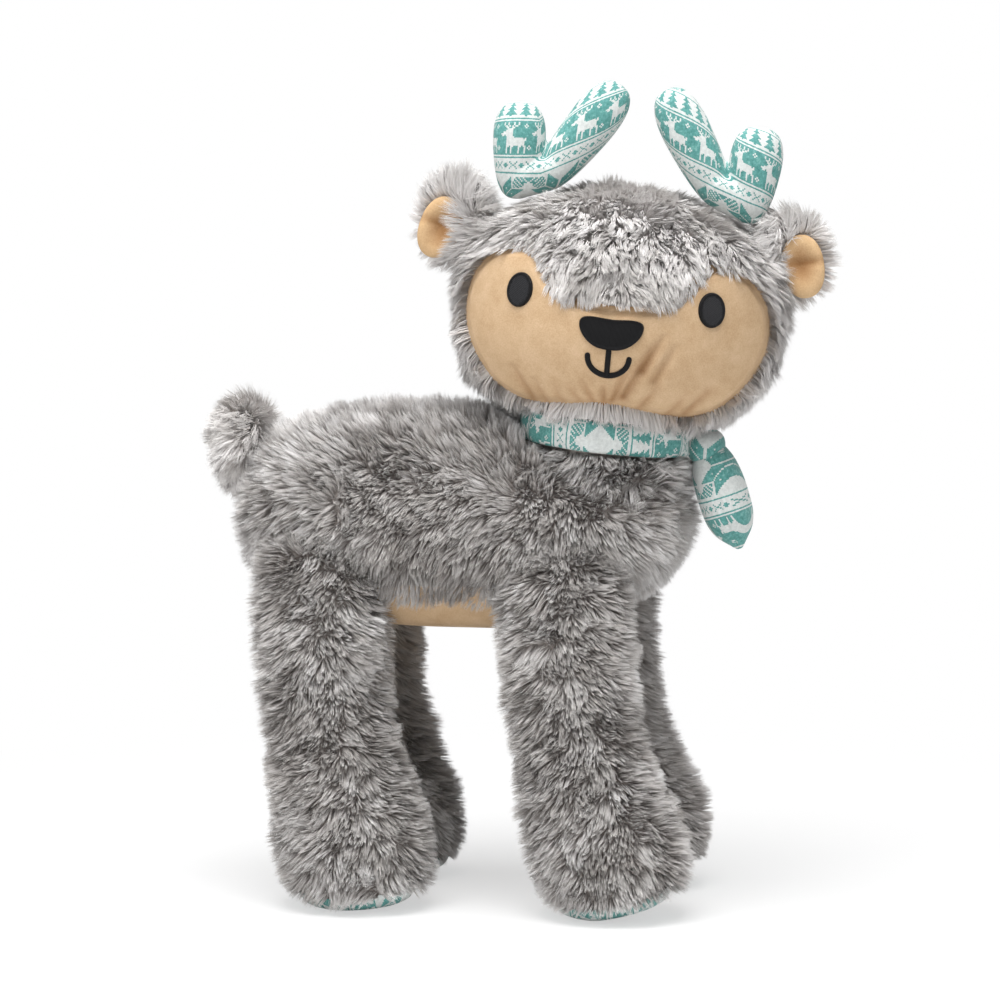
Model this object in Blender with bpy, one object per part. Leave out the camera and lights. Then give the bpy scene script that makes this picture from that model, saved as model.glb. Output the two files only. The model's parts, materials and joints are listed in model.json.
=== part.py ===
"""Standing plush deer: sewn covers over fibre filling, with a turning head.

Metres, +Z up. The deer looks along -Y with its head turned to its right, -X.
The origin is on the ground under the middle of the deer's bounding box.

Every stuffed piece is a sphere moved through a shape function. The function takes
a growth, so one form gives the fur tips, the cloth, the cavity and the filling.
"""
import math

import bmesh
import bpy
from mathutils import Matrix, Vector

MM = 0.001

# Cloth and clearances
PILE = 8.0 * MM
CLOTH = 2.0 * MM
FIT_GAP = 0.3 * MM
THREAD = 1.2 * MM
OVERRUN = 40.0 * MM
SEAT_FLAT = 0.5 * MM

# Body, measured to the cloth under the pile
BODY_HALF_LENGTH = 106.0 * MM
BODY_HALF_WIDTH = 51.0 * MM
BODY_HALF_HEIGHT = 49.5 * MM
BODY_CENTRE_HEIGHT = 187.5 * MM
BODY_CENTRE_BACK = 17.0 * MM
BODY_END_POWER = 3.0
BODY_ROUND_POWER = 2.3
# Along the body from rump (-1) to chest (1): rise above the middle, fall below it, width
BODY_FORM_SHARES = (
    (-1.00, 1.00, 0.96, 0.98),
    (-0.60, 1.00, 0.98, 1.04),
    (-0.20, 1.00, 1.00, 0.97),
    (0.08, 0.98, 1.00, 0.96),
    (0.30, 0.86, 1.00, 1.00),
    (0.58, 0.62, 0.96, 1.04),
    (1.00, 0.50, 0.84, 0.98),
)
# Where the pile starts to thin and where it ends, below the middle
BELLY_BLEND_SHARES = (0.35, 0.58)
BELLY_HALF_WIDTH = 45.0 * MM
BELLY_HALF_LENGTH = 74.0 * MM
BELLY_RISE = 13.0 * MM

# Legs
HIP_HEIGHT = 178.0 * MM
FOOT_HALF_LENGTH = 35.0 * MM
FOOT_HALF_WIDTH = 27.0 * MM
HIP_SIDE = 33.5 * MM
FOOT_SIDE = 40.0 * MM
REAR_HIP_BACK = 82.0 * MM
FRONT_HIP_BACK = -36.0 * MM
REAR_FOOT_REACH = 20.0 * MM
FRONT_FOOT_REACH = 26.0 * MM
REAR_TOE_ROLL = math.radians(5.0)
FRONT_TOE_ROLL = math.radians(14.0)
LEG_END_POWER = 5.0
LEG_ROUND_POWER = 2.2
# Up the leg from the ground (0) to the hip (1): reach to the toe, length, width
LEG_FORM_SHARES = (
    (0.00, 1.00, 0.98, 1.00),
    (0.10, 0.96, 1.02, 1.04),
    (0.22, 0.80, 0.97, 1.00),
    (0.36, 0.52, 0.86, 0.93),
    (0.52, 0.26, 0.79, 0.88),
    (0.76, 0.08, 0.84, 0.85),
    (1.00, 0.00, 0.88, 0.84),
)
SOLE_HALF_LENGTH = 27.0 * MM
SOLE_HALF_WIDTH = 20.5 * MM
SOLE_CUT_HEIGHT = 27.0 * MM

# Head, measured to the cloth, about its own middle
HEAD_HALF_WIDTH = 75.0 * MM
HEAD_HALF_DEPTH = 60.0 * MM
HEAD_HALF_HEIGHT = 55.0 * MM
HEAD_CENTRE_HEIGHT = 285.9 * MM
HEAD_CENTRE_BACK = -58.4 * MM
HEAD_END_POWER = 2.5
HEAD_ROUND_POWER = 2.2
HEAD_LEAN = math.radians(6.0)
HEAD_TURN = math.radians(-84.0)
MUZZLE_SWELL = 5.0 * MM
MUZZLE_DROP = 9.0 * MM
MUZZLE_SPREAD = 26.0 * MM

# Right half of the face opening, in shares of the head's half width and half height
FACE_OUTLINE_SHARES = (
    (0.00, -0.83),
    (0.28, -0.86),
    (0.52, -0.85),
    (0.72, -0.70),
    (0.86, -0.48),
    (0.94, -0.24),
    (0.96, -0.02),
    (0.93, 0.18),
    (0.86, 0.34),
    (0.76, 0.45),
    (0.64, 0.49),
    (0.53, 0.47),
    (0.46, 0.34),
    (0.38, 0.20),
    (0.22, 0.11),
    (0.00, 0.07),
)
OUTLINE_STEPS = 3

EYE_SIDE = 44.6 * MM
EYE_RISE = 8.0 * MM
EYE_HALF_WIDTH = 6.1 * MM
EYE_HALF_HEIGHT = 8.2 * MM
EYE_TILT = math.radians(8.0)
NOSE_HALF_WIDTH = 15.0 * MM
NOSE_HALF_HEIGHT = 7.4 * MM
NOSE_DROP = 7.0 * MM
NOSE_OUTLINE_SHARES = (
    (0.00, -1.00),
    (0.36, -0.92),
    (0.67, -0.60),
    (0.91, -0.06),
    (1.00, 0.50),
    (0.92, 0.86),
    (0.62, 0.99),
    (0.00, 0.92),
)
MOUTH_HALF_WIDTH = 9.6 * MM
MOUTH_TOP_DROP = 14.8 * MM
MOUTH_DEPTH = 11.6 * MM
SMILE_DEPTH = 8.6 * MM
STITCH_WIDTH = 2.4 * MM
SMILE_STEPS = 8

# Neck and scarf, turned about the head's own upright axis
NECK_RADIUS = 36.0 * MM
NECK_LENGTH = 52.0 * MM
HEAD_SEAT_DROP = 50.0 * MM
BAND_THICKNESS = 6.0 * MM
BAND_HEIGHT = 15.0 * MM
BAND_OUTER_RADIUS = NECK_RADIUS + FIT_GAP + BAND_THICKNESS
BAND_TOP = -HEAD_SEAT_DROP - FIT_GAP
NECK_FLOOR = BAND_TOP - BAND_HEIGHT - FIT_GAP
KNOT_HALF_WIDTH = 13.0 * MM
KNOT_HALF_DEPTH = 9.0 * MM
KNOT_HALF_HEIGHT = 8.5 * MM
KNOT_BACK = -(BAND_OUTER_RADIUS + KNOT_HALF_DEPTH - BAND_THICKNESS / 2)
KNOT_RISE = BAND_TOP - BAND_HEIGHT / 2 - KNOT_HALF_HEIGHT / 4
END_LENGTH = 42.0 * MM
END_HALF_WIDTH = 17.0 * MM
END_HALF_DEPTH = 11.5 * MM
END_ROOT_RADIUS = 6.0 * MM
END_ROOT_HALF_WIDTH = 6.5 * MM
END_LEAN = math.radians(24.0)
# Down the scarf end from its root (0) to its point (1): width and thickness
END_FORM_SHARES = (
    (0.00, 0.50, 0.60),
    (0.22, 0.76, 0.84),
    (0.56, 1.00, 1.00),
    (0.82, 0.76, 0.84),
    (1.00, 0.26, 0.34),
)
# Down the knot, which keeps its width
KNOT_FORM_SHARES = (
    (0.00, 0.90, 0.90),
    (0.50, 1.00, 1.00),
    (1.00, 0.90, 0.90),
)

# Antlers and ears, about the head's middle
ANTLER_ROOT_SIDE = 46.0 * MM
ANTLER_ROOT_RISE = 58.6 * MM
ANTLER_ROOT_SLOPE = math.radians(20.0)
ANTLER_ROOT_RADIUS = 9.0 * MM
ANTLER_ROOT_HALF_WIDTH = 21.0 * MM
SHORT_LOBE_HALF_WIDTH = 12.6 * MM
LONG_LOBE_HALF_WIDTH = 10.8 * MM
LOBE_HALF_THICKNESS = 10.4 * MM
LOBE_END_POWER = 2.8
PALM_ROOT = -1.0 * MM
PALM_START_RISE = 8.0 * MM
PALM_SIDE = 3.0 * MM
PALM_RISE = 8.0 * MM
PALM_HALF_WIDTH = 20.0 * MM
LONG_LOBE_ROOT = -7.0 * MM
LONG_LOBE_SIDE = -30.0 * MM
LONG_LOBE_RISE = 40.0 * MM
SHORT_LOBE_ROOT = 9.0 * MM
SHORT_LOBE_SIDE = 3.0 * MM
SHORT_LOBE_RISE = 37.0 * MM
# Up a lobe from its root (0) to its tip (1): width and thickness
LOBE_FORM_SHARES = (
    (0.00, 0.86, 0.72),
    (0.25, 0.94, 0.88),
    (0.65, 1.02, 1.00),
    (1.00, 1.00, 1.00),
)
EAR_ROOT_SIDE = 79.4 * MM
EAR_ROOT_RISE = 32.6 * MM
EAR_LENGTH = 26.0 * MM
EAR_HALF_HEIGHT = 24.0 * MM
EAR_HALF_DEPTH = 9.0 * MM
EAR_ANGLE = math.radians(14.0)
EAR_ROOT_RADIUS = 7.0 * MM
EAR_ROOT_HALF_WIDTH = 12.0 * MM
# Along the ear from its root (0) to its tip (1): height and thickness
EAR_FORM_SHARES = (
    (0.00, 0.62, 0.76),
    (0.28, 0.90, 0.94),
    (0.60, 1.03, 1.00),
    (1.00, 0.88, 0.84),
)
LINING_HALF_LENGTH = 10.0 * MM
LINING_HALF_HEIGHT = 14.5 * MM
LINING_HALF_DEPTH = 4.0 * MM
LINING_REACH = 13.0 * MM
LINING_BULGE = 1.2 * MM
# A lining swells evenly
LINING_FORM_SHARES = (
    (0.00, 1.00, 1.00),
    (1.00, 1.00, 1.00),
)

# Tail
TAIL_LENGTH = 23.0 * MM
TAIL_HALF_WIDTH = 24.0 * MM
TAIL_HALF_HEIGHT = 24.0 * MM
TAIL_ROOT_RADIUS = 12.0 * MM
TAIL_ROOT_HALF_WIDTH = 14.0 * MM
TAIL_ROOT_BACK = 126.0 * MM
TAIL_ROOT_HEIGHT = 224.0 * MM
TAIL_LIFT = math.radians(24.0)
# Out along the tail from its root (0) to its end (1): width and height
TAIL_FORM_SHARES = (
    (0.00, 0.60, 0.42),
    (0.25, 0.84, 0.68),
    (0.60, 1.04, 1.00),
    (1.00, 0.94, 0.94),
)

# Facets
BODY_FACETS = (28, 16)
LINING_FACETS = (20, 12)
LEG_FACETS = (18, 14)
LEG_LINING_FACETS = (14, 10)
LOBE_FACETS = (14, 10)
SMALL_FACETS = (14, 10)
TURNED_STEPS = 28

SIDES = (("left", 1.0), ("right", -1.0))


def new_collection(name):
    """Make a collection in the scene."""
    collection = bpy.data.collections.new(name)
    bpy.context.scene.collection.children.link(collection)
    return collection


def new_material(name, colour, roughness):
    """Make a plain cloth or thread material."""
    material = bpy.data.materials.new(name)
    material.use_nodes = True
    shader = material.node_tree.nodes["Principled BSDF"]
    shader.inputs["Base Color"].default_value = (*colour, 1)
    shader.inputs["Roughness"].default_value = roughness
    shader.inputs["Metallic"].default_value = 0.0
    material.diffuse_color = (*colour, 1)
    return material


def shares_at(table, place):
    """Read the columns of a table of shares at a place, on smooth curves."""
    place = min(max(place, table[0][0]), table[-1][0])
    last = len(table) - 1
    index = 0
    while index < last - 1 and place > table[index + 1][0]:
        index += 1
    start, end = table[index], table[index + 1]
    before, after = table[max(index - 1, 0)], table[min(index + 2, last)]
    span = end[0] - start[0]
    way = (place - start[0]) / span
    values = []
    for column in range(1, len(start)):
        start_slope = (end[column] - before[column]) / (end[0] - before[0])
        end_slope = (after[column] - start[column]) / (after[0] - start[0])
        rise = end[column] - start[column]
        cubic = start_slope * span + end_slope * span - 2 * rise
        square = 3 * rise - 2 * start_slope * span - end_slope * span
        values.append(start[column] + way * (start_slope * span + way * (square + way * cubic)))
    return values


def boxed(direction, end_power, round_power):
    """Push a point of the unit sphere out onto a boxier unit form."""
    around = (abs(direction.x) ** round_power + abs(direction.y) ** round_power) ** (1 / round_power)
    size = (around ** end_power + abs(direction.z) ** end_power) ** (1 / end_power)
    return direction / size


def body_point(direction, growth):
    """Body form: rump at the sphere's lower pole, chest at its upper pole."""
    unit = boxed(direction, BODY_END_POWER, BODY_ROUND_POWER)
    rise, fall, width = shares_at(BODY_FORM_SHARES, unit.z)
    height = rise if unit.y > 0 else fall
    return Vector((
        unit.x * (BODY_HALF_WIDTH * width + growth),
        BODY_CENTRE_BACK - unit.z * (BODY_HALF_LENGTH + growth),
        BODY_CENTRE_HEIGHT + unit.y * (BODY_HALF_HEIGHT * height + growth),
    ))


def body_lining_point(direction, growth):
    """Body form inside the pile, which thins out to nothing where the smooth belly is sewn in."""
    unit = boxed(direction, BODY_END_POWER, BODY_ROUND_POWER)
    way = (-unit.y - BELLY_BLEND_SHARES[0]) / (BELLY_BLEND_SHARES[1] - BELLY_BLEND_SHARES[0])
    way = min(max(way, 0), 1)
    return body_point(direction, growth + PILE * way ** 2 * (3 - 2 * way))


def leg_point(direction, growth, side, hip_back, reach, roll):
    """Leg form: foot at the lower pole, hip at the upper, toe rolled up off the ground."""
    unit = boxed(direction, LEG_END_POWER, LEG_ROUND_POWER)
    lift = (unit.z + 1) / 2
    forward, length, width = shares_at(LEG_FORM_SHARES, lift)
    floor = -SEAT_FLAT - min(growth, 0)
    toeward = -unit.y * (FOOT_HALF_LENGTH * length + growth) + FOOT_HALF_LENGTH / 4
    curl = max(toeward, 0) ** 2 / (abs(toeward) + FOOT_HALF_LENGTH / 4)
    return Vector((
        side * (FOOT_SIDE + (HIP_SIDE - FOOT_SIDE) * lift) + unit.x * (FOOT_HALF_WIDTH * width + growth),
        hip_back - reach * forward + unit.y * (FOOT_HALF_LENGTH * length + growth),
        floor + lift * (HIP_HEIGHT - floor) + math.tan(roll) * curl * (1 - lift) ** 3,
    ))


def head_point(direction, growth):
    """Head form about its own middle, with the muzzle swelling forward."""
    unit = boxed(direction, HEAD_END_POWER, HEAD_ROUND_POWER)
    point = Vector((
        unit.x * (HEAD_HALF_WIDTH + growth),
        unit.y * (HEAD_HALF_DEPTH + growth),
        unit.z * (HEAD_HALF_HEIGHT + growth),
    ))
    if unit.y < 0:
        spread = (point.x / MUZZLE_SPREAD) ** 2 + ((point.z + MUZZLE_DROP) / MUZZLE_SPREAD) ** 2
        point.y -= MUZZLE_SWELL * math.exp(-spread)
    return point


def limb_point(direction, growth, start, end, across, thick, table, end_power, across_axis=None):
    """A stuffed limb from start to end, flattened along Y, swelling by its table."""
    unit = boxed(direction, end_power, LEG_ROUND_POWER)
    way = (unit.z + 1) / 2
    wide_share, thick_share = shares_at(table, way)
    axis = (end - start).normalized()
    side = across_axis or Vector((0, 1, 0)).cross(axis).normalized()
    flat = axis.cross(side)
    middle = start.lerp(end, way) + axis * (growth * unit.z)
    middle += side * unit.x * (across * wide_share + growth)
    return middle + flat * unit.y * (thick * thick_share + growth)


def to_object(name, mesh, collection, material, parent):
    """Put finished geometry in a named object under its frame."""
    bmesh.ops.recalc_face_normals(mesh, faces=mesh.faces)
    if mesh.calc_volume(signed=True) < 0:
        bmesh.ops.reverse_faces(mesh, faces=mesh.faces)
    data = bpy.data.meshes.new(name)
    mesh.to_mesh(data)
    mesh.free()
    data.shade_smooth()
    obj = bpy.data.objects.new(name, data)
    collection.objects.link(obj)
    obj.parent = parent
    if material is None:
        obj.hide_render = True
        obj.display_type = "WIRE"
    else:
        data.materials.append(material)
    return obj


class Workshop:
    """The collections and materials that every piece shares."""

    def __init__(self):
        self.parts = new_collection("plush_deer")
        self.cutters = new_collection("cutters")
        self.fur = new_material("grey_fur", (0.36, 0.34, 0.33), 0.95)
        self.tan = new_material("tan_velour", (0.77, 0.55, 0.30), 0.9)
        self.print = new_material("printed_velour", (0.25, 0.55, 0.52), 0.85)
        self.thread = new_material("black_thread", (0.012, 0.012, 0.013), 0.45)
        self.fibre = new_material("fibre_filling", (0.85, 0.85, 0.82), 1.0)
        self.count = 0

    def piece(self, name, mesh, material, parent):
        """A visible part, with its own copy of the cloth's material."""
        own = material.copy()
        own.name = name + "_" + material.name
        return to_object(name, mesh, self.parts, own, parent)

    def cutter(self, mesh, parent):
        """A hidden cutting form."""
        self.count += 1
        return to_object("cut_%02d" % self.count, mesh, self.cutters, None, parent)


def stuffed(shape, facets, growth=0.0, **settings):
    """A sphere moved point by point onto a stuffed form."""
    mesh = bmesh.new()
    bmesh.ops.create_uvsphere(mesh, u_segments=facets[0], v_segments=facets[1], radius=1)
    for vertex in mesh.verts:
        vertex.co = shape(vertex.co.normalized(), growth, **settings)
    bmesh.ops.triangulate(mesh, faces=mesh.faces, quad_method="FIXED")
    return mesh


def box(centre, half_sizes):
    """A box as a cutting form."""
    mesh = bmesh.new()
    bmesh.ops.create_cube(mesh, size=1)
    bmesh.ops.scale(mesh, vec=[half * 2 for half in half_sizes], verts=mesh.verts)
    bmesh.ops.translate(mesh, vec=centre, verts=mesh.verts)
    return mesh


def drum(radius, top, bottom, frame=Matrix()):
    """An upright cylinder between two heights of a frame."""
    mesh = bmesh.new()
    bmesh.ops.create_cone(
        mesh, cap_ends=True, segments=TURNED_STEPS, radius1=radius, radius2=radius, depth=top - bottom,
        matrix=frame @ Matrix.Translation((0, 0, (top + bottom) / 2)),
    )
    return mesh


def turned(profile, ring):
    """Spin radius and height pairs about Z. A ring's profile closes on itself off the axis."""
    mesh = bmesh.new()
    corners = [mesh.verts.new((radius, 0, height)) for radius, height in profile]
    ends = corners[1:] + corners[:1] if ring else corners[1:]
    edges = [mesh.edges.new(pair) for pair in zip(corners, ends)]
    bmesh.ops.spin(
        mesh, geom=corners + edges, axis=(0, 0, 1), cent=(0, 0, 0), angle=2 * math.pi,
        steps=TURNED_STEPS, use_merge=True, use_duplicate=False,
    )
    bmesh.ops.remove_doubles(mesh, verts=mesh.verts, dist=FIT_GAP / 10)
    return mesh


def prism(outline, near, far):
    """A flat outline in X and Z, run through from one depth to another along Y."""
    mesh = bmesh.new()
    face = mesh.faces.new([mesh.verts.new((x, near, z)) for x, z in outline])
    grown = bmesh.ops.extrude_face_region(mesh, geom=[face])
    moved = [item for item in grown["geom"] if isinstance(item, bmesh.types.BMVert)]
    bmesh.ops.translate(mesh, vec=(0, far - near, 0), verts=moved)
    return mesh


def boolean(piece, cutter, operation="DIFFERENCE"):
    """Cut one object with another."""
    modifier = piece.modifiers.new(operation.lower() + "_" + cutter.name, "BOOLEAN")
    modifier.operation = operation
    modifier.solver = "EXACT"
    modifier.object = cutter


def smooth_outline(points, steps, closed):
    """Run a Catmull-Rom curve through a list of points."""
    count = len(points)
    result = []
    spans = count if closed else count - 1
    for index in range(spans):
        picks = [index - 1, index, index + 1, index + 2]
        if closed:
            before, start, end, after = (Vector(points[pick % count]) for pick in picks)
        else:
            before, start, end, after = (Vector(points[min(max(pick, 0), count - 1)]) for pick in picks)
        for step in range(steps):
            way = step / steps
            result.append((
                start * 2 + (end - before) * way
                + (before * 2 - start * 5 + end * 4 - after) * way ** 2
                + (start * 3 - before - end * 3 + after) * way ** 3
            ) / 2)
    return result


def mirrored_outline(shares, half_width, half_height, drop):
    """Both halves of an outline given for the right side, bottom to top."""
    right = [Vector((x * half_width, z * half_height - drop)) for x, z in shares]
    left = [Vector((-point.x, point.y)) for point in reversed(right[1:-1])]
    return smooth_outline(right + left, OUTLINE_STEPS, closed=True)


def moved_in(outline, distance):
    """Move a closed, anticlockwise outline inward by a distance."""
    count = len(outline)
    result = []
    for index, point in enumerate(outline):
        along = outline[(index + 1) % count] - outline[index - 1]
        result.append(point + Vector((-along.y, along.x)).normalized() * distance)
    return result


def ellipse(half_width, half_height, tilt, side, rise):
    """An anticlockwise ellipse, leaning by a tilt."""
    points = []
    for step in range(SMALL_FACETS[0]):
        turn = 2 * math.pi * step / SMALL_FACETS[0]
        x, z = half_width * math.cos(turn), half_height * math.sin(turn)
        points.append(Vector((
            side + x * math.cos(tilt) - z * math.sin(tilt),
            rise + x * math.sin(tilt) + z * math.cos(tilt),
        )))
    return points


def smile_outline():
    """The stitched mouth: an upright line that ends in a smiling curve."""
    half = STITCH_WIDTH / 2
    curve_top = MOUTH_TOP_DROP + MOUTH_DEPTH - SMILE_DEPTH
    lower, upper = [], []
    for step in range(SMILE_STEPS + 1):
        turn = math.pi * step / SMILE_STEPS
        outward = -math.cos(turn)
        sag = math.sin(turn)
        lower.append(Vector((outward * (MOUTH_HALF_WIDTH + half), -curve_top - sag * (SMILE_DEPTH + half))))
        upper.append(Vector((outward * (MOUTH_HALF_WIDTH - half), -curve_top - sag * (SMILE_DEPTH - half))))
    middle = SMILE_STEPS // 2
    stem = [
        Vector((half, upper[middle + 1].y)),
        Vector((half, -MOUTH_TOP_DROP)),
        Vector((-half, -MOUTH_TOP_DROP)),
        Vector((-half, upper[middle - 1].y)),
    ]
    top = list(reversed(upper[middle + 1:])) + stem + list(reversed(upper[:middle]))
    return lower + top


def cover(shop, name, shape, lining_shape, facets, lining_facets, parent, **settings):
    """A fur cover: the pile's outer form, hollowed to the inside of its cloth."""
    piece = shop.piece(name, stuffed(shape, facets, PILE, **settings), shop.fur, parent)
    boolean(piece, shop.cutter(stuffed(lining_shape, lining_facets, -CLOTH, **settings), parent))
    return piece


def panel(shop, name, shape, facets, lining_facets, material, parent, window, **settings):
    """A thin cloth panel of a form, inside a window."""
    piece = shop.piece(name, stuffed(shape, facets, 0.0, **settings), material, parent)
    boolean(piece, shop.cutter(stuffed(shape, lining_facets, -CLOTH, **settings), parent))
    boolean(piece, window, "INTERSECT")
    return piece


def filling(shop, name, shape, lining_facets, parent, **settings):
    """The fibre inside a cover."""
    return shop.piece(name, stuffed(shape, lining_facets, -CLOTH - FIT_GAP, **settings), shop.fibre, parent)


def belly_block(margin):
    """The block that the belly opening fills, less a margin all round."""
    top = BODY_CENTRE_HEIGHT - BODY_HALF_HEIGHT + BELLY_RISE - margin
    return box(
        (0, BODY_CENTRE_BACK, top / 2), (BELLY_HALF_WIDTH - margin, BELLY_HALF_LENGTH - margin, top / 2))


def make_body(shop, root, neck_frame):
    """Body cover, belly panel and filling, opened for the neck and the head's swing."""
    coat = cover(shop, "body_cover", body_point, body_lining_point, BODY_FACETS, LINING_FACETS, root)
    inside = filling(shop, "body_filling", body_lining_point, LINING_FACETS, root)
    boolean(coat, shop.cutter(belly_block(0), root))
    window = shop.cutter(belly_block(FIT_GAP), root)
    panel(shop, "belly_panel", body_lining_point, BODY_FACETS, LINING_FACETS, shop.tan, root, window)
    collar = shop.cutter(drum(BAND_OUTER_RADIUS + FIT_GAP, 0, NECK_FLOOR), neck_frame)
    swing = shop.cutter(head_swing(FIT_GAP), neck_frame)
    for piece in (coat, inside):
        boolean(piece, collar)
        boolean(piece, swing)
    return coat


def head_swing(growth):
    """The bowl that the turning head sweeps, about the neck's axis."""
    flat_share = 1 / math.cos(math.pi / TURNED_STEPS)
    radius = (HEAD_HALF_WIDTH + PILE + growth) * flat_share
    depth = (HEAD_HALF_HEIGHT + PILE + growth) * flat_share
    profile = [(0, -depth)]
    for step in range(1, LINING_FACETS[1] + 1):
        turn = math.pi / 2 * step / LINING_FACETS[1]
        unit = boxed(Vector((math.sin(turn), 0, math.cos(turn))), HEAD_END_POWER, HEAD_ROUND_POWER)
        profile.append((unit.x * radius, -unit.z * depth))
    profile.append((0, 0))
    return turned(profile, ring=False)


def make_leg(shop, root, name, side, hip_back, reach, roll, seat):
    """One leg: fur cover, filling and printed sole, seated on the body."""
    settings = {"side": side, "hip_back": hip_back, "reach": reach, "roll": roll}
    ground = shop.cutter(
        box((side * FOOT_SIDE, hip_back, -OVERRUN), (OVERRUN * 3, OVERRUN * 3, OVERRUN)), root)
    centre = Matrix.Translation((side * FOOT_SIDE, hip_back - reach, 0))

    def oval(margin):
        size = Matrix.Diagonal((SOLE_HALF_WIDTH + margin, SOLE_HALF_LENGTH + margin, 1, 1))
        return shop.cutter(drum(1, SOLE_CUT_HEIGHT + margin, -SOLE_CUT_HEIGHT, centre @ size), root)

    coat = cover(shop, name + "_cover", leg_point, leg_point, LEG_FACETS, LEG_LINING_FACETS, root, **settings)
    inside = filling(shop, name + "_filling", leg_point, LEG_LINING_FACETS, root, **settings)
    sole = panel(
        shop, name + "_sole", leg_point, LEG_FACETS, LEG_LINING_FACETS, shop.print, root, oval(0.0),
        **settings)
    boolean(coat, oval(FIT_GAP))
    for piece in (coat, inside):
        boolean(piece, seat)
    for piece in (coat, sole):
        boolean(piece, ground)


def make_legs(shop, root):
    """Four legs, each cut by the body that it is sewn to."""
    seat = shop.cutter(stuffed(body_point, BODY_FACETS, PILE + FIT_GAP), root)
    pairs = (
        ("front_leg", FRONT_HIP_BACK, FRONT_FOOT_REACH, FRONT_TOE_ROLL),
        ("rear_leg", REAR_HIP_BACK, REAR_FOOT_REACH, REAR_TOE_ROLL),
    )
    for pair, hip_back, reach, roll in pairs:
        for word, side in SIDES:
            make_leg(shop, root, pair + "_" + word, side, hip_back, reach, roll, seat)


def make_neck(shop, root, neck_frame):
    """The stuffed neck between the body and the head, and the scarf band round it."""
    neck = shop.piece(
        "neck", drum(NECK_RADIUS, BAND_TOP, BAND_TOP - NECK_LENGTH), shop.fur, neck_frame)
    body_seat = shop.cutter(stuffed(body_point, BODY_FACETS, PILE + FIT_GAP * 2), root)
    boolean(body_seat, shop.cutter(
        drum(BAND_OUTER_RADIUS, 0, NECK_FLOOR + FIT_GAP), neck_frame))
    boolean(neck, body_seat)
    inner = NECK_RADIUS + FIT_GAP
    crown = BAND_THICKNESS / 4
    profile = [
        (inner, BAND_TOP - BAND_HEIGHT),
        (BAND_OUTER_RADIUS - crown, BAND_TOP - BAND_HEIGHT),
        (BAND_OUTER_RADIUS, BAND_TOP - BAND_HEIGHT + crown * 2),
        (BAND_OUTER_RADIUS, BAND_TOP - crown * 2),
        (BAND_OUTER_RADIUS - crown, BAND_TOP),
        (inner, BAND_TOP),
    ]
    shop.piece("scarf_band", turned(profile, ring=True), shop.print, neck_frame)


def rolled_root(radius, half_width, axis):
    """A roll along a hinge axis, which a bending piece turns on."""
    turn = Vector((0, 0, 1)).rotation_difference(Vector(axis)).to_matrix().to_4x4()
    return drum(radius, half_width, -half_width, turn)


def bending_piece(shop, name, material, hinge, axis, radius, half_width, lobes, facets):
    """Stuffed lobes joined to the roll of their sewn root, on a hinge."""
    piece = shop.piece(name, rolled_root(radius, half_width, axis), material, hinge)
    for lobe in lobes:
        boolean(piece, shop.cutter(stuffed(limb_point, facets, **lobe), hinge), "UNION")
    return piece


def socket(shop, piece, hinge, axis, radius, half_width):
    """Clear the pile round a bending root."""
    boolean(piece, shop.cutter(rolled_root(radius + FIT_GAP, half_width + FIT_GAP, axis), hinge))


def new_hinge(name, parent, collection, matrix):
    """An empty on a joint's axis that carries what moves."""
    hinge = bpy.data.objects.new(name, None)
    collection.objects.link(hinge)
    hinge.parent = parent
    hinge.matrix_local = matrix
    return hinge


def make_scarf_end(shop, neck_frame):
    """The knot at the front of the band and the stuffed end that swings from it."""
    knot = shop.piece("scarf_knot", stuffed(
        limb_point, SMALL_FACETS, start=Vector((0, KNOT_BACK, KNOT_RISE - KNOT_HALF_HEIGHT)),
        end=Vector((0, KNOT_BACK, KNOT_RISE + KNOT_HALF_HEIGHT)), across=KNOT_HALF_WIDTH,
        thick=KNOT_HALF_DEPTH, table=KNOT_FORM_SHARES, end_power=BODY_END_POWER), shop.print, neck_frame)
    boolean(knot, shop.cutter(
        drum(BAND_OUTER_RADIUS + FIT_GAP, 0, BAND_TOP - BAND_HEIGHT - OVERRUN), neck_frame))
    boolean(knot, shop.cutter(head_swing(FIT_GAP), neck_frame))
    place = Vector((0, KNOT_BACK - KNOT_HALF_DEPTH / 2, KNOT_RISE - KNOT_HALF_HEIGHT))
    hinge = new_hinge(
        "scarf_end_hinge", neck_frame, shop.parts,
        Matrix.Translation(place) @ Matrix.Rotation(-END_LEAN, 4, "X"))
    lobe = {
        "start": Vector((0, 0, END_ROOT_RADIUS / 2)), "end": Vector((0, 0, -END_LENGTH)),
        "across": END_HALF_WIDTH, "thick": END_HALF_DEPTH, "table": END_FORM_SHARES,
        "end_power": BODY_END_POWER,
    }
    bending_piece(
        shop, "scarf_end", shop.print, hinge, (1, 0, 0), END_ROOT_RADIUS, END_ROOT_HALF_WIDTH,
        [lobe], LOBE_FACETS)
    socket(shop, knot, hinge, (1, 0, 0), END_ROOT_RADIUS, END_ROOT_HALF_WIDTH)


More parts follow.
